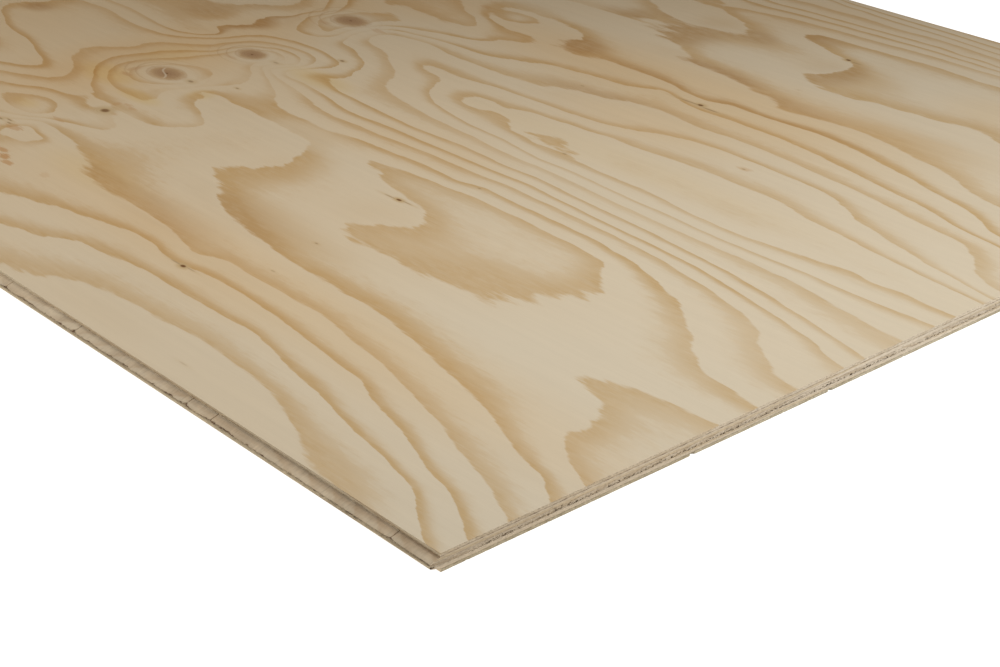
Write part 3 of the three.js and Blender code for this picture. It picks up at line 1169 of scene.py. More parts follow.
# %% List where the wood differs
# Where fibres stand on end beside a knot, or a dry year left little latewood: fainter rings.
FACE_FADES = [
    (905, 512, 48, 34, 0.85), (880, 276, 40, 30, 0.75), (950, 212, 46, 24, 0.75),
    (955, 458, 34, 20, 0.70), (880, 705, 40, 22, 0.40), (330, 580, 520, 90, 0.30),
    (700, 405, 80, 28, 0.65), (850, 140, 60, 50, 0.65), (868, 470, 62, 46, 0.60),
    (870, 920, 60, 80, 0.50), (40, 440, 110, 80, 0.30), (815, 330, 24, 34, 0.50),
    (914, 400, 22, 52, 0.85), (945, 655, 26, 42, 0.80), (1200, 480, 90, 35, 0.35),
    (100, 360, 90, 60, 0.30), (960, 606, 18, 14, 0.50), (320, 988, 60, 34, 0.45),
]
# Where the knife stayed within one ring's latewood, so that it fills the whole ring.
FACE_BROADS = [
    (600, 885, 90, 16, 0.80), (460, 972, 80, 40, 0.85), (665, 985, 62, 56, 0.90),
    (712, 958, 56, 28, 0.75), (540, 245, 130, 34, 0.80), (620, 180, 110, 30, 0.60),
    (500, 30, 100, 26, 0.30), (640, 330, 40, 62, 0.60), (470, 330, 70, 42, 0.40),
    (655, 700, 60, 30, 0.60), (280, 865, 130, 30, 0.60), (1050, 390, 40, 90, 0.40),
    (735, 820, 50, 26, 0.80), (1150, 575, 44, 38, 0.45), (1045, 590, 26, 26, 0.60),
    (800, 415, 50, 16, 0.50), (1020, 628, 30, 30, 0.75), (1290, 415, 26, 18, 0.50),
]
# Where the latewood itself is darker, as a dry summer leaves it.
FACE_DEEPS = [
    (690, 945, 60, 55, 0.7), (700, 985, 110, 18, 0.5), (625, 1000, 40, 26, 0.6),
    (590, 868, 110, 22, 1.0), (745, 820, 50, 34, 0.8), (800, 955, 50, 22, 0.6),
    (475, 965, 40, 50, 0.7), (590, 1050, 60, 24, 0.6), (1150, 580, 50, 44, 0.4),
    (1120, 630, 36, 22, 0.3), (1055, 585, 30, 80, 0.8), (570, 712, 130, 30, 0.7),
    (600, 210, 130, 60, 0.5), (450, 850, 90, 18, 0.5), (760, 180, 110, 22, 0.4),
    (1030, 370, 40, 50, 0.3), (500, 808, 260, 16, 0.5), (1285, 416, 30, 20, 0.9),
]
# Golden wood, which sapwood shows beside a branch.
FACE_GOLDS = [
    (925, 336, 42, 14, 0.9), (1015, 350, 54, 26, 0.9), (884, 390, 18, 18, 0.6),
    (840, 518, 60, 22, 0.7), (1025, 440, 34, 50, 0.5), (990, 234, 26, 12, 0.6),
    (760, 185, 90, 30, 0.4), (450, 600, 260, 30, 0.15),
]
# Warmer wood, where resin has soaked in.
FACE_WARMTHS = [
    (400, 155, 430, 70, 0.68), (540, 800, 330, 95, 0.85), (1030, 430, 110, 240, 0.80),
    (1040, 700, 80, 90, 0.70), (650, 1110, 150, 90, 0.45), (600, 470, 130, 60, 0.45),
    (980, 810, 90, 90, 0.50), (1200, 380, 160, 200, 0.15), (270, 1000, 90, 50, 0.50),
    (500, 700, 150, 60, 0.60), (400, 1150, 90, 60, 0.15),
    (1790, 520, 190, 460, 0.70),
]


patches = FACE_FADES + FACE_BROADS + FACE_DEEPS + FACE_GOLDS + FACE_WARMTHS
print(len(patches), "patches where the wood differs")

# %% [markdown]
# Drawing them is then a matter of distance. A list of marks becomes one number, the strength of
# the strongest mark at that place, and a knot is drawn from its rim inwards.

# %% Draw the knots and the marks
def nearest_knot(finish, knots):
    """The way from the nearest knot's middle and how far it is, both in its half sizes."""
    nearest, least = None, None
    for run, reach, half_run, half_reach, _, _ in knots:
        away = from_place(finish, run, reach, half_run, half_reach)
        distance = finish.vector("LENGTH", away)
        if nearest is None:
            nearest, least = away, distance
            continue
        closer = finish.math("LESS_THAN", distance, least)
        nearest = finish.mix(closer, nearest, away, kind="VECTOR")
        least = finish.math("MINIMUM", distance, least)
    return nearest, least


def strongest(finish, marks, inside, outside, ragged=None):
    """The strength of the strongest mark at each place, fading between two distances."""
    total = 0.0
    for run, reach, half_run, half_reach, strength in marks:
        distance = finish.vector("LENGTH", from_place(finish, run, reach, half_run, half_reach))
        if ragged is not None:
            distance = finish.math("ADD", distance, ragged)
        here = finish.smooth(distance, outside, inside, 0.0, strength)
        total = finish.math("MAXIMUM", total, here)
    return total


KNOT_YEARS = 7.5  # the branch's own rings, from its pith to its rim
SQUEEZED_RINGS = 1.7  # the trunk's rings that are squeezed into each half size round it


def knotted(finish, colour, knots, splits):
    way, distance = nearest_knot(finish, knots)
    uneven = finish.noise((110, 240, 1), 3.0, 0.6, shift=(7, 7, 0))
    squeezed = finish.times(distance, SQUEEZED_RINGS)
    squeezed = finish.sum(squeezed, finish.times(uneven, 0.35))
    squeezed = finish.math("FRACT", squeezed)
    distance = finish.sum(distance, finish.times(uneven, 0.45))
    collar = finish.curve(finish.spread(distance, 0.8, 2.4), (0, 0.0), (0.12, 0.40), (1, 0.0))
    colour = finish.mix(collar, colour, PALE_WOOD)

    # Thin rings of the trunk squeezed up against the knot, strongest on its far side.
    thread = finish.curve(squeezed, (0.0, 0.0), (0.70, 0.0), (0.90, 1.0), (1.0, 0.0))
    near = finish.smooth(distance, 3.4, 1.5)
    far_side = finish.vector("DOT_PRODUCT", way, (-0.5, -0.1, 0))
    near = finish.times(near, finish.spread(far_side, -0.5, 1.0, 0.06, 0.40))
    colour = finish.mix(finish.times(near, 0.45), colour, BROWN_WOOD)
    colour = finish.mix(finish.times(thread, near), colour, KNOT_RING)

    # The branch itself, darker towards its pith, and the split that dried across it.
    year = finish.math("FRACT", finish.times(distance, KNOT_YEARS))
    rings = finish.curve(year, (0.0, 0.15), (0.6, 0.3), (0.92, 1.0), (1.0, 0.15))
    heart = finish.smooth(distance, 1.0, 0.1, 0.15, 0.65)
    wood = finish.mix(finish.sum(finish.times(rings, 0.3), heart), KNOT_WOOD, KNOT_DARK)
    wood = finish.mix(finish.smooth(distance, 0.12, 0.04, 0.0, 0.8), wood, MARK_BROWN)
    across_split = finish.vector("DOT_PRODUCT", way, (0.75, 0.66, 0))
    along_split = finish.vector("DOT_PRODUCT", way, (-2.6, 3.0, 0))
    swerve = finish.times(finish.math("SINE", along_split), 0.10)
    off_split = finish.math("ABSOLUTE", finish.sum(across_split, swerve, 0.13))
    split = finish.smooth(off_split, 0.085, 0.03)
    split = finish.times(split, finish.smooth(distance, 1.0, 0.70))
    split = finish.times(split, strongest(finish, splits, 1.5, 1.6))
    wood = finish.mix(finish.times(split, 0.6), wood, FLANK_WOOD)
    return finish.mix(finish.smooth(distance, 1.25, 0.60), colour, wood)


def marked(finish, colour, marks):
    halo, heart = 0.0, 0.0
    for run, reach, half_run, half_reach, strength in marks:
        distance = finish.vector("LENGTH", from_place(finish, run, reach, half_run, half_reach))
        near = finish.smooth(distance, 3.6, 0.8, 0.0, strength)
        within = finish.smooth(distance, 1.35, 0.45, 0.0, strength)
        halo = finish.math("MAXIMUM", halo, near)
        heart = finish.math("MAXIMUM", heart, within)
    colour = finish.mix(halo, colour, BROWN_WOOD)
    return finish.mix(heart, colour, MARK_BROWN)


print("a knot's finish weighs", len(FACE_KNOTS), "knots, and its marks", len(FACE_MARKS), "places")

# %% [markdown]
# The colour is then brought together. The wood is made warmer and a little darker away from
# the near end, towards the whorl and past it. Part of this is the tone that heartwood and resin
# give, and part is painted light: a painted fall of the light along the sheet and a paler
# painted sheen at the near end. The whole veneer also wanders a little in tone, because the
# log did.

# %% Finish for a peeled surface
# The warming is partly wood tone and partly painted light, falling off along the sheet.
COOL_AT, WARM_AT = NEAR_END - 0.10, NEAR_END - 1.40  # x where the tone starts and ends to warm
FIBRE_RELIEF = 0.2 * MM


def peeled(name, pale, brown, figure, roughness):
    finish = Finish(name)
    broad = strongest(finish, figure["broads"], 0.3, 1.3)
    late = latewood(finish, finish.number("ring"), broad)
    weather = finish.spread(finish.noise((2.6, 7.0, 1)), -0.25, 0.25, 0.80, 1.16)
    faded = strongest(finish, figure["fades"], 0.5, 1.4)
    late = finish.times(finish.times(late, weather), finish.math("SUBTRACT", 1.0, faded))
    deep = strongest(finish, figure["deeps"], 0.4, 1.2)
    colour = finish.mix(late, pale, finish.mix(deep, brown, DEEP_BROWN))

    where = finish.vector("DOT_PRODUCT", finish.place, (1, 0, 0))
    wander = finish.noise((2.2, 6.0, 1), 2.0, 0.5, shift=(0, 5, 0))
    # Painted light as well as wood tone: warmer and darker away from the near end, paler there as a
    # painted sheen.
    heart = finish.sum(finish.spread(where, COOL_AT, WARM_AT), finish.times(wander, 0.7))
    warm = strongest(finish, figure["warmths"], 0.25, 1.35)
    gold = strongest(finish, figure["golds"], 0.3, 1.3)
    colour = finish.tinted(finish.spread(heart, 0, 1), colour, HEARTWOOD_AND_FALLOFF_TINT)
    colour = finish.tinted(warm, colour, WARM_TINT)
    colour = finish.tinted(gold, colour, GOLD_TINT)

    fibres = finish.noise((14, 1500, 1), 3.0, 0.65, shift=(9, 0, 0))
    bands = finish.noise((5, 130, 1), 2.0, 0.5, shift=(4, 0, 0))
    tone = finish.sum(1.0, finish.times(fibres, 0.09), finish.times(bands, 0.07))
    colour = finish.toned(colour, tone)
    torn = finish.times(finish.noise((70, 420, 1), 3.0, 0.6, shift=(0, 4, 0)), 2.4)
    resin = strongest(finish, figure["streaks"], 0.6, 1.3, torn)
    colour = finish.mix(resin, colour, RESIN)
    colour = knotted(finish, colour, figure["knots"], figure["splits"])
    colour = marked(finish, colour, figure["marks"])
    finish.bump(fibres, FIBRE_RELIEF, 0.5)
    smoother = roughness - 0.08
    return finish.close(colour, finish.spread(late, 0, 1, roughness, smoother), 0.3)


# %% [markdown]
# ## The cut edges
#
# Where the saw crossed the fibres, their open ends drink in the light, and the wood looks
# darker and greyer with fine dots. Where it ran along them, the wood stays pale and streaked.
# Both read the same ring number as the face does, so a brown ring that reaches the arris goes
# on down the edge. The number called `glue` is 1 at a glue line, where hot-pressed resin has
# stained the wood.

# %% Finishes for the edges
SAW_RELIEF = 0.3 * MM
SAWN_RING = [(0.0, 0.2), (0.05, 0.0), (0.45, 0.05), (0.9, 1.0), (1.0, 0.4)]


def cut_edge(name, pale, brown, scales, specks_seen, roughness, *, late_seen=0.75,
             glue_seen=0.9, glue_least=0.35, grit=0.0, blotches=0.0, painted_corner_shade=1.0, root_shade_marks=()):
    """scales are the grain's and the specks' features per metre each way. late_seen and
    glue_seen are how strong the rings and the glue are, and glue_least is the share of the
    glue left where the least of it shows. grit is how much the tone jumps from one fibre
    bundle to the next, and blotches how much over a thumb's width. painted_corner_shade is painted
    shade: how much darker an end is painted at the tongue's corner, where less light reaches
    it, and it is painted warmer there too. stains are the places at the root of the tongue
    that are painted darker, as painted shade in the corner under its shoulder and as the
    brown of the cutter."""
    finish = Finish(name)
    rings = finish.number("ring")
    grain_scale, speck_scale = scales
    wobble = finish.noise(grain_scale, 2.0, 0.6)
    along_ring = finish.math("FRACT", finish.sum(rings, finish.times(wobble, 0.35)))
    late = finish.curve(along_ring, *SAWN_RING)
    colour = finish.mix(finish.times(late, late_seen), pale, brown)
    # Painted shade and the cutter's brown, in the corner at the root of the tongue under its
    # shoulder.
    if root_shade_marks:
        root = strongest(finish, root_shade_marks, 0.2, 1.3, finish.times(wobble, 0.8))
        colour = finish.mix(root, colour, ROOT_SHADE_BROWN)
    specks = finish.noise(speck_scale, 3.0, 0.7, shift=(2, 2, 2))
    dark_specks = finish.smooth(specks, 0.05, 0.25, 0.0, specks_seen)
    colour = finish.mix(dark_specks, colour, GLUE)
    patches = finish.noise((9, 9, 150), 2.0, 0.5, shift=(6, 1, 0))
    tone = finish.spread(patches, -0.3, 0.3, 0.90, 1.10)
    tone = finish.times(tone, finish.sum(finish.times(specks, -grit), 1.0))
    if blotches:
        blotch = finish.noise((55, 30, 60), 3.0, 0.6, shift=(4, 7, 1))
        tone = finish.times(tone, finish.sum(finish.times(blotch, blotches), 1.0))
    # Painted shade: an end is painted darker, and warmer, towards the tongue's corner, where less
    # light reaches it.
    reach = finish.vector("DOT_PRODUCT", finish.place, (0, 1, 0))
    corner_shade_factor = finish.smooth(reach, SHOULDER + 0.03, SHOULDER + 0.24, painted_corner_shade, 1.0)
    if painted_corner_shade < 1:
        corner_shade_warmth = finish.smooth(reach, SHOULDER + 0.05, SHOULDER + 0.50, 0.45, 0.0)
        colour = finish.tinted(corner_shade_warmth, colour, WARM_TINT)
    colour = finish.toned(colour, finish.times(tone, corner_shade_factor))
    broken = finish.noise((140, 140, 400), 2.0, 0.6, shift=(1, 8, 3))
    line = finish.times(finish.number("glue"), finish.spread(broken, -0.2, 0.2, glue_least, 1.1))
    colour = finish.mix(finish.smooth(line, 0.30, 0.95, 0.0, glue_seen), colour, GLUE)
    finish.bump(finish.sum(specks, finish.times(wobble, 0.6)), SAW_RELIEF, 0.7)
    return finish.close(colour, roughness, 0.2)


def glue_film(name):
    """The glued side of a ply, bared where its neighbour has broken away."""
    finish = Finish(name)
    fibres = finish.noise((300, 300, 1), 3.0, 0.6)
    colour = finish.mix(finish.spread(fibres, -0.25, 0.25), GLUE, GLUED_FIBRES)
    finish.bump(fibres, SAW_RELIEF, 0.6)
    return finish.close(colour, 0.55, 0.4)


print("cut edges are up to", SAW_RELIEF / MM, "mm rough")

# %% [markdown]
# Nine finishes come out of these three rules. The ends are cut across the fibres, the long
# sides along them, and the crossbands the other way round. The root of the tongue is painted
# brown, partly as painted shade in the corner under its shoulder and partly as the brown of
# the cutter's heat, and its tip shows glue that was smeared along it.

# %% Make the finishes
# The grain's and the specks' scales, where the cut is across the fibres, along them, and
# across and along the crossbands' own.
END_SCALES = ((60, 60, 260), (420, 420, 900))
SIDE_SCALES = ((12, 60, 500), (40, 900, 1800))
BAND_SCALES = ((60, 12, 500), (700, 200, 900))
FLANK_SCALES = ((60, 12, 200), (500, 40, 300))
# Painted shade and the cutter's brown at the root of the tongue, in the corner under its shoulder:
# run, reach, half sizes, share.
ROOT_SHADE_AND_BURN = [(14, -0.6, 30, 2.6, 0.42), (80, -3.0, 150, 2.8, 0.30), (260, -3.4, 170, 2.2, 0.24)]
FACE_FIGURE = {
    "knots": FACE_KNOTS, "splits": FACE_SPLITS, "marks": FACE_MARKS,
    "streaks": FACE_STREAKS, "fades": FACE_FADES, "broads": FACE_BROADS,
    "deeps": FACE_DEEPS, "warmths": FACE_WARMTHS, "golds": FACE_GOLDS,
}
FACE_FINISH = peeled("sanded_face", PALE_WOOD, BROWN_WOOD, FACE_FIGURE, 0.62)
SAWN_ENDS = cut_edge(
    "sawn_fibre_ends", END_WOOD, END_BROWN, END_SCALES, 0.34, 0.9,
    late_seen=0.40, grit=1.25, painted_corner_shade=0.86
)
SAWN_CORE_ENDS = cut_edge(
    "sawn_core_ends", CORE_END_WOOD, CORE_END_BROWN, END_SCALES, 0.34, 0.9,
    late_seen=0.60, grit=1.35, painted_corner_shade=0.86
)
SAWN_BACK_ENDS = cut_edge(
    "sawn_back_ends", BACK_END_WOOD, BACK_END_BROWN, END_SCALES, 0.40, 0.9,
    late_seen=0.60, grit=1.60, painted_corner_shade=0.92
)
SAWN_SIDES = cut_edge(
    "sawn_long_sides", SIDE_WOOD, SIDE_BROWN, SIDE_SCALES, 0.20, 0.75, glue_seen=0.10
)
MILLED_TIP = cut_edge(
    "milled_core_tip", TIP_WOOD, TIP_BROWN, SIDE_SCALES, 0.30, 0.8,
    glue_seen=0.95, glue_least=-0.3, blotches=0.5
)
SAWN_BANDS = cut_edge(
    "sawn_crossband_sides", BAND_WOOD, BAND_BROWN, BAND_SCALES, 0.20, 0.75,
    grit=0.80, painted_corner_shade=0.92
)
MILLED_FLANK = cut_edge(
    "milled_crossband", FLANK_WOOD, FLANK_BROWN, FLANK_SCALES, 0.15, 0.8,
    late_seen=0.55, glue_seen=0.50, grit=0.42, blotches=0.55, root_shade_marks=ROOT_SHADE_AND_BURN
)
BARE_GLUE = glue_film("bared_glue_line")
print("finishes:", ", ".join(m.name for m in bpy.data.materials))
# %% [markdown]
# ## The five plies
#
# Each ply gets the heights of its rim, its own wear, and a finish for each way it is cut. The
# face and the back are peeled with the grain along the sheet, as the core is, so their ends
# show cut fibres and their long sides show fibres lying along. The crossbands are the other
# way round. The back comes from a knottier part of the log, because the good veneers are kept
# for the face.

# %% The back's figure, and the rings of the hidden plies
RING_THICKNESS = 5.5  # millimetres of wood between one ring and the next
BACK_KNOTS = [
    (212, 318, 17, 11, 3.0, 30), (236, 742, 20, 13, 3.2, 34), (198, 1050, 12, 8, 1.6, 22),
    (742, 160, 24, 15, 3.5, 38), (768, 560, 27, 17, 3.8, 40), (720, 905, 21, 13, 3.0, 34),
    (1334, 262, 18, 11, 2.8, 30), (1360, 690, 26, 16, 3.6, 38), (1322, 1012, 22, 14, 3.2, 34),
    (1905, 118, 23, 14, 3.2, 36), (1948, 480, 28, 18, 4.0, 42), (1921, 866, 19, 12, 2.8, 30),
]
BACK_PALE, BACK_BROWN = paint(202, 187, 158), paint(176, 148, 108)


def back_rings(run, reach):
    """The back's ring numbers. It was peeled from the same log, and glued on face down."""
    bent = 1180 - reach + 34 * np.sin(run / 205) + 17 * np.sin(run / 83 + 1)
    wander = 0.9 * slow_wander(run + 700, bent)
    return wander + log_trend(run, bent) + knot_pull(BACK_KNOTS, run, reach)


def hidden_rings(turned, seed):
    """Ring numbers for a ply whose figure only shows on its edges."""
    def rings(run, reach):
        round_log, along_log = (run, reach) if turned else (reach, run)
        turn = 2 * np.pi * round_log / LOG_TURN + seed
        return 4 * np.cos(turn) + 0.7 * np.sin(along_log / 210 + seed) + seed
    return rings


BACK_FIGURE = {
    "knots": BACK_KNOTS, "splits": [(768, 560, 27, 17, 0.9), (1360, 690, 26, 16, 0.8)],
    "marks": [(905, 415, 4, 3, 0.9), (1533, 871, 4, 3, 0.8)],
    "streaks": [(255, 742, 14, 5, 0.5), (1390, 690, 12, 6, 0.5)],
    "fades": [(480, 480, 210, 160, 0.4)], "broads": [(1080, 860, 260, 90, 0.7)],
    "deeps": [(1080, 860, 200, 70, 0.6)], "golds": [(768, 560, 90, 60, 0.7)],
    "warmths": [(760, 540, 260, 420, 0.7), (1930, 480, 250, 400, 0.7)],
}
BACK_FINISH = peeled("peeled_back", BACK_PALE, BACK_BROWN, BACK_FIGURE, 0.75)
print(len(BACK_KNOTS), "knots on the back")

# %% [markdown]
# A finish needs three things from the mesh: the ring number, how near a glue line is, and
# which way the wood was cut there. The first two are stored as a number at every point, and
# they go a little way over each edge, as real rings do. The third is a choice of material,
# made from the side of the rim that a face is on.

# %% Write a ply's numbers and finishes
# Millimetres that glue has soaked up and down into a sawn edge, at the top of each ply.
GLUE_SOAKED = {
    "back_veneer": 0.45, "lower_crossband": 0.25, "core_veneer": 0.35, "upper_crossband": 0.65,
}
# How much further, or less far, it soaks at the tip of the tongue and at its milled shoulder.
TIP_SHARE = {"core_veneer": 3.0, "lower_crossband": 0.6, "upper_crossband": 0.6}
SHOULDER_SHARE = 0.4


def glue_share(node, spots):
    """1 at a glued side of a ply, falling to 0 a short way into it. The tip of the tongue is
    stained further where the wood beside it broke away, and the milled shoulder less."""
    low, high = (corner.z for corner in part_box(node))
    at_tip = spots[:, 1] < SHOULDER - 6 * MM
    at_shoulder = spots[:, 1] < SHOULDER + 0.5 * MM
    reach_in = MM * np.where(at_shoulder, SHOULDER_SHARE, 1.0)
    reach_in[at_tip] = MM * TIP_SHARE.get(node, 1.0)
    share = np.zeros(len(spots))
    if node in GLUE_SOAKED:
        soaked = reach_in * GLUE_SOAKED[node]
        share = np.maximum(share, 1 - ease(0, 1, (high - spots[:, 2]) / soaked))
    if node != "back_veneer":
        soaked = reach_in * GLUE_SOAKED[PLY_NAMES[PLY_NAMES.index(node) - 1]]
        share = np.maximum(share, 1 - ease(0, 1, (spots[:, 2] - low) / soaked))
    return share


def finish_ply(piece, node, rings, rim_face_count, finishes):
    """Finishes are for the ply's broad sides, its ends and its long sides."""
    spots = places_of(piece.data)
    run = (NEAR_END - spots[:, 0]) / MM
    reach = (spots[:, 1] - SHOULDER) / MM
    depth = (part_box(node)[1].z - spots[:, 2]) / MM
    write_numbers(piece, "ring", rings(run, reach) + depth / RING_THICKNESS)
    write_numbers(piece, "glue", glue_share(node, spots))
    for finish in finishes:
        piece.data.materials.append(finish)
    levels = rim_face_count // len(rim)
    slots = np.zeros(len(piece.data.polygons), dtype=np.int32)
    slots[:rim_face_count] = np.tile(np.where(is_end, 1, 2), levels)
    piece.data.polygons.foreach_set("material_index", slots)


print("glue shows up to", max(GLUE_SOAKED.values()), "mm into a sawn edge")

# %% [markdown]
# Each ply then gets its own sum of wear rules. The back loses chips along its bottom arris, the
# core has a row of pockets low down where soft springwood tore out, and the two crossbands have
# their feather edges broken back on the tongue. The face, which is sanded and handled with
# care, is hardly touched.

# %% How each ply is worn
GLUE_LINES = [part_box(name)[1].z for name in PLY_NAMES[:-1]]
back_glue, core_floor, core_top, face_glue = GLUE_LINES
# Torn pockets: seed, then length, thickness and depth in millimetres, and share of the edge.
CORE_POCKETS = (3.0, 1.7, 0.9, 3.0, 0.42)
CORE_SCRATCHES = (5.0, 2.0, 0.7, 1.0, 0.30)
CROSSBAND_POCKETS = (7.0, 1.9, 0.6, 1.2, 0.30)
# The two larger chips in the near end: how far across they are, and their half widths.
CHIPS = ((0.2445, 1.7 * MM), (0.4015, 1.3 * MM))
break_upper = feather_break("upper_crossband", core_top, 21.0)
break_lower = feather_break("lower_crossband", core_floor, 31.0)


def back_wear(height):
    """Breakout along the bottom arris of the ends, with two larger chips at the near one."""
    low_down = 1 - ease(0.0, 1.0 * MM, height)
    ragged = np.maximum(0, speckle(along(4.2), 0.0, 11.0) - 0.25)
    ragged += 0.3 * np.maximum(0, speckle(along(1.2), height / MM, 12.0) - 0.2)
    chips = 1.4 * MM * low_down * ragged * is_end
    for place, size in CHIPS:
        shape = np.exp(-((rim_reach - place) / size) ** 2) * (rim_side == NEAR_SIDE)
        chips += 2.4 * MM * shape * (1 - ease(1.4 * MM, 2.4 * MM, height))
    return grazed(height, 8.0) + chips + glue_lip(height, back_glue, 13.0)


def lower_wear(height):
    lips = glue_lip(height, back_glue, 14.0) + glue_lip(height, core_floor, 15.0)
    holes = pockets(height, *CROSSBAND_POCKETS) * is_end * band(height, core_floor, 0.7 * MM)
    return grazed(height, 9.0) + lips + holes + break_lower(height)


def core_wear(height):
    """Torn pockets, most of them in a row low in the core, and a hollow along the top of the
    tongue's tip, where the cutter pressed soft wood in under the crossband."""
    row = band(height, core_floor + 0.6 * MM, 1.4 * MM)
    holes = pockets(height, *CORE_POCKETS) * row + pockets(height, *CORE_SCRATCHES)
    patchy = ease(-0.35, 0.15, speckle(along(55), 0.0, 16.0))
    high_up = 1 - ease(0.25 * MM, 1.35 * MM, core_top - height)
    near_corner = 1 - ease(0.13, 0.20, rim_run)
    uneven = np.maximum(0, 0.45 + 2.2 * speckle(along(5), 0.0, 17.0))
    hollow = MM * (0.60 + 0.50 * near_corner) * uneven * high_up * on_tongue
    return grazed(height, 2.0) + holes * patchy * is_end + hollow


def upper_wear(height):
    lips = glue_lip(height, face_glue, 17.0)
    return grazed(height, 4.0) + lips + break_upper(height) + split_across(5.0 * MM)


def face_wear(height):
    """The saw nibbles the arris of the ends, and the sander only softens the long ones."""
    high_up = ease(TOP - 0.7 * MM, TOP, height)
    nibbled = np.maximum(0, speckle(along(2.4), 0.0, 18.0))
    arris = (0.16 * MM + 0.7 * MM * nibbled * is_end) * high_up
    return grazed(height, 1.0) + arris + glue_lip(height, face_glue, 19.0)


print("glue lines at", [round(line / MM, 2) for line in GLUE_LINES], "mm")

# %% [markdown]
# The plies are made from one table, from the underside up. More levels are put where a ply is
# worn most, because a torn pocket needs points to bend round.

# %% Make the plies
LONG_GRAIN = (SAWN_ENDS, SAWN_SIDES)
CORE_GRAIN = (SAWN_CORE_ENDS, MILLED_TIP)
CROSS_GRAIN = (SAWN_BANDS, MILLED_FLANK)

# piece, node, rim levels in millimetres above its underside, wear, side in view, broad
# finish, edge finishes
PLIES = [
    ("pine_back", "back_veneer", (0, 0.35, 0.8, 1.4, 2.2, 2.5), back_wear, "bottom",
     BACK_FINISH, (SAWN_BACK_ENDS, SAWN_SIDES)),
    ("lower_crossband_wood", "lower_crossband", (0, 0.2, 0.7, 1.5, 2.3, 2.7, 3.05, 3.25),
     lower_wear, None, BARE_GLUE, CROSS_GRAIN),
    ("core_wood", "core_veneer", (0, 0.2, 0.5, 0.8, 1.1, 1.5, 2.0, 2.6, 3.0, 3.3, 3.5),
     core_wear, None, BARE_GLUE, CORE_GRAIN),
    ("upper_crossband_wood", "upper_crossband", (0, 0.2, 0.5, 0.85, 1.4, 2.2, 2.75, 3.05, 3.25),
     upper_wear, None, BARE_GLUE, CROSS_GRAIN),
    ("pine_face", "face_veneer", (0, 0.2, 0.9, 1.8, 2.15, 2.5), face_wear, "top",
     FACE_FINISH, LONG_GRAIN),
]
FIGURES = {"face_veneer": face_rings, "back_veneer": back_rings}
plies = {}

for index, (name, node, levels, wear, grid, broad, edges) in enumerate(PLIES):
    heights = [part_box(node)[0].z + level * MM for level in levels]
    piece, rim_faces_made = make_ply(name, node, heights, wear, grid)
    crossing = edges is CROSS_GRAIN
    rings = FIGURES.get(node, hidden_rings(crossing, 1.3 * index))
    finish_ply(piece, node, rings, rim_faces_made, (broad, *edges))
    plies[node] = piece
    triangles = sum(len(face.vertices) - 2 for face in piece.data.polygons)
    print(f"  {triangles} triangles")

# %% [markdown]
# ## Torn fibres
#
# A saw or a cutter that breaks wood leaves slivers behind: bundles of fibre, a millimetre or
# so long, that still point along the grain of their own ply. They show as a beard in the
# chipped arris, in the core's pockets and along the broken feather edge of the tongue. There
# are thousands, all alike and all on a line, which is what Geometry Nodes is for: one graph
# takes a line, sets points along it, and stands a thin closed sliver on some of them. Modelling
# them one by one, or painting them as bump, would give neither the count nor the shadows.

# %% Build the graph that grows torn fibres along a line
FIBRE_INPUTS = [
    ("Spacing", "NodeSocketFloat", 1.0 * MM),
    ("Length", "NodeSocketFloat", 1.0 * MM),
    ("Thickness", "NodeSocketFloat", 0.12 * MM),
    ("Share", "NodeSocketFloat", 0.5),
    ("Lean low", "NodeSocketVector", (-0.3, -0.3, -0.3)),
    ("Lean high", "NodeSocketVector", (0.3, 0.3, 0.3)),
    ("Seed", "NodeSocketInt", 1),
    ("Material", "NodeSocketMaterial", None),
]
SLIVER_SIDES = 4
SHORTEST_SLIVER = 0.35  # of the longest


def build_fibre_graph():
    graph = bpy.data.node_groups.new("torn_fibres", "GeometryNodeTree")
    graph.interface.new_socket("Line", in_out="INPUT", socket_type="NodeSocketGeometry")
    for name, kind, default in FIBRE_INPUTS:
        socket = graph.interface.new_socket(name, in_out="INPUT", socket_type=kind)
        if default is not None:
            socket.default_value = default
    graph.interface.new_socket("Fibres", in_out="OUTPUT", socket_type="NodeSocketGeometry")

    def add(kind, feeds, **settings):
        return add_node(graph, kind, feeds, **settings).outputs

    given = add("NodeGroupInput", {})
    line = add("GeometryNodeMeshToCurve", {"Mesh": given["Line"]})
    spacing = {"Curve": line["Curve"], "Length": given["Spacing"]}
    points = add("GeometryNodeResampleCurve", spacing, mode="LENGTH")

    shape = {"Vertices": SLIVER_SIDES, "Radius Top": 0.0, "Radius Bottom": given["Thickness"],
             "Depth": given["Length"]}
    sliver = add("GeometryNodeMeshCone", shape, fill_type="NGON")

    # A random value has its own sockets for each kind of number, so some go by their place.
    draw = {"Probability": given["Share"], "Seed": given["Seed"]}
    chosen = add("FunctionNodeRandomValue", draw, data_type="BOOLEAN")
    draw = {"Min": given["Lean low"], "Max": given["Lean high"], "Seed": given["Seed"]}
    lean = add("FunctionNodeRandomValue", draw, data_type="FLOAT_VECTOR")
    turn = add("FunctionNodeAlignRotationToVector", {"Vector": lean["Value"]}, axis="Z")
    draw = {2: SHORTEST_SLIVER, 3: 1.0, "Seed": given["Seed"]}
    size = add("FunctionNodeRandomValue", draw, data_type="FLOAT")

    stand = add("GeometryNodeInstanceOnPoints", {
        "Points": points["Curve"], "Selection": chosen[3], "Instance": sliver["Mesh"],
        "Rotation": turn["Rotation"], "Scale": size[1],
    })
    real = add("GeometryNodeRealizeInstances", {"Geometry": stand["Instances"]})
    coating = {"Geometry": real["Geometry"], "Material": given["Material"]}
    coat = add("GeometryNodeSetMaterial", coating)
    add("NodeGroupOutput", {"Fibres": coat["Geometry"]})
    return graph


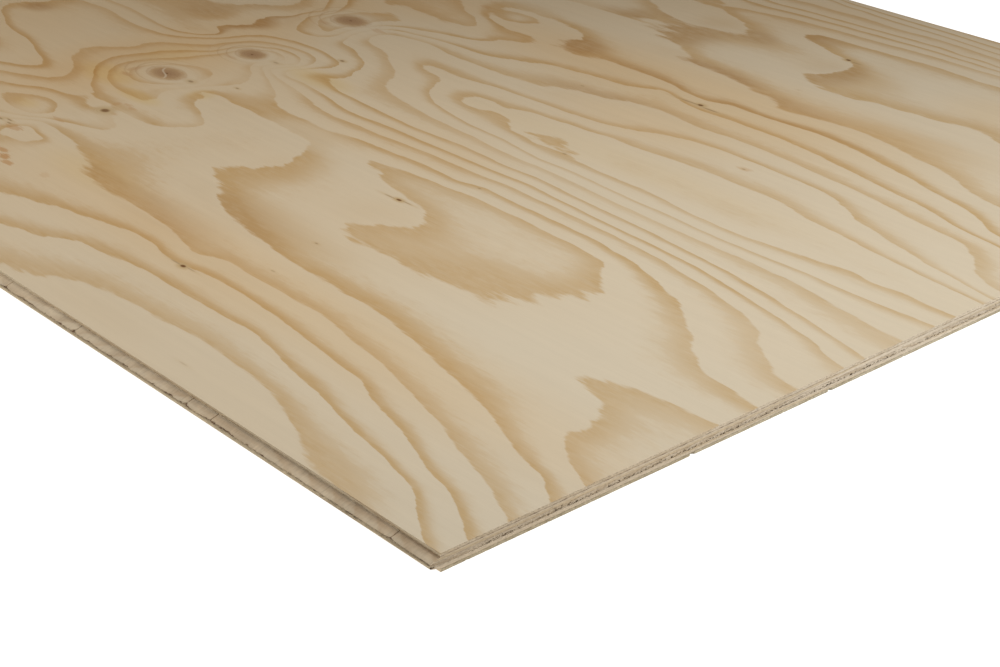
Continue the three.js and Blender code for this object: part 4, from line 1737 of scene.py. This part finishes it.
fibre_graph = build_fibre_graph()
print("the fibre graph has", len(fibre_graph.nodes), "nodes and", len(FIBRE_INPUTS), "settings")

# %% [markdown]
# The lines are taken from the worn rims themselves, so every sliver starts on broken wood. A
# sliver that would pass the true outline of the sheet is cut off there, as the saw would.

# %% Grow the fibres
FIBRE_CORNERS = SLIVER_SIDES + 1


def rim_line(name, node, level, along_rim):
    """The worn rim of a ply at one of its levels, as a line of edges."""
    spots = places_of(plies[node].data)[along_rim + level * len(rim)]
    mesh = bpy.data.meshes.new(name)
    edges = [(k, k + 1) for k in range(len(spots) - 1)]
    mesh.from_pydata(spots.tolist(), edges, [])
    return add_object(name, mesh)


def grow_fibres(name, line, settings):
    grower = line.modifiers.new("fibres", "NODES")
    grower.node_group = fibre_graph
    for socket in fibre_graph.interface.items_tree:
        if socket.in_out == "INPUT" and socket.name in settings:
            grower[socket.identifier] = settings[socket.name]
    line.update_tag()
    grown = line.evaluated_get(bpy.context.evaluated_depsgraph_get())
    mesh = bpy.data.meshes.new_from_object(grown)
    bpy.data.objects.remove(line)
    within = np.clip(places_of(mesh), *cad_box)
    mesh.vertices.foreach_set("co", within.ravel())
    fibres = add_object(name, mesh)
    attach(fibres, "root")
    count = len(mesh.vertices) // FIBRE_CORNERS
    print(f"{name}: {count} fibres, {len(mesh.polygons)} faces")


seen_tongue = tongue_rim[run_fine <= FINE_RUN]
PALE_SLIVERS = cut_edge(
    "pale_slivers", SIDE_WOOD, SIDE_BROWN, ((60, 12, 200), (900, 60, 300)), 0.05, 0.8
)
# name, ply, rim level, part of the rim, finish, the way they point and how far off it, then
# their spacing, length and thickness in millimetres, the share that grow, and a seed
BEARDS = [
    ("arris_fibres", "back_veneer", 0, near_rim, SAWN_BACK_ENDS, (1, 0, 0.1), 0.25,
     0.8, 1.4, 0.10, 0.6, 3),
    ("far_arris_fibres", "back_veneer", 0, far_rim, SAWN_BACK_ENDS, (-1, 0, 0.1), 0.25,
     1.2, 1.4, 0.12, 0.6, 4),
    ("pocket_fibres", "core_veneer", 4, near_rim, SAWN_CORE_ENDS, (1, 0, 0), 0.3,
     0.9, 1.2, 0.10, 0.5, 5),
    ("feather_fibres", "upper_crossband", 1, seen_tongue, MILLED_FLANK, (0, -1, -0.1), 0.22,
     0.7, 1.6, 0.11, 0.6, 6),
    ("hanging_fibres", "upper_crossband", 1, seen_tongue, PALE_SLIVERS, (0, -1, -0.35), 0.22,
     1.6, 3.2, 0.50, 0.5, 8),
]
for name, node, level, along_rim, finish, way, off, *sizes, share, seed in BEARDS:
    settings = {
        "Material": finish, "Share": share, "Seed": seed,
        "Lean low": tuple(part - off for part in way),
        "Lean high": tuple(part + off for part in way),
    }
    for setting, size in zip(("Spacing", "Length", "Thickness"), sizes):
        settings[setting] = size * MM
    line = rim_line(name + "_line", node, level, along_rim)
    grow_fibres(name, line, settings)

# %% [markdown] ## Close the lesson  The visual model must be exactly as big as the CAD
# model.

# %% Measure and finish
print("CAD box   ", [[round(c, 5) for c in corner] for corner in cad_box])
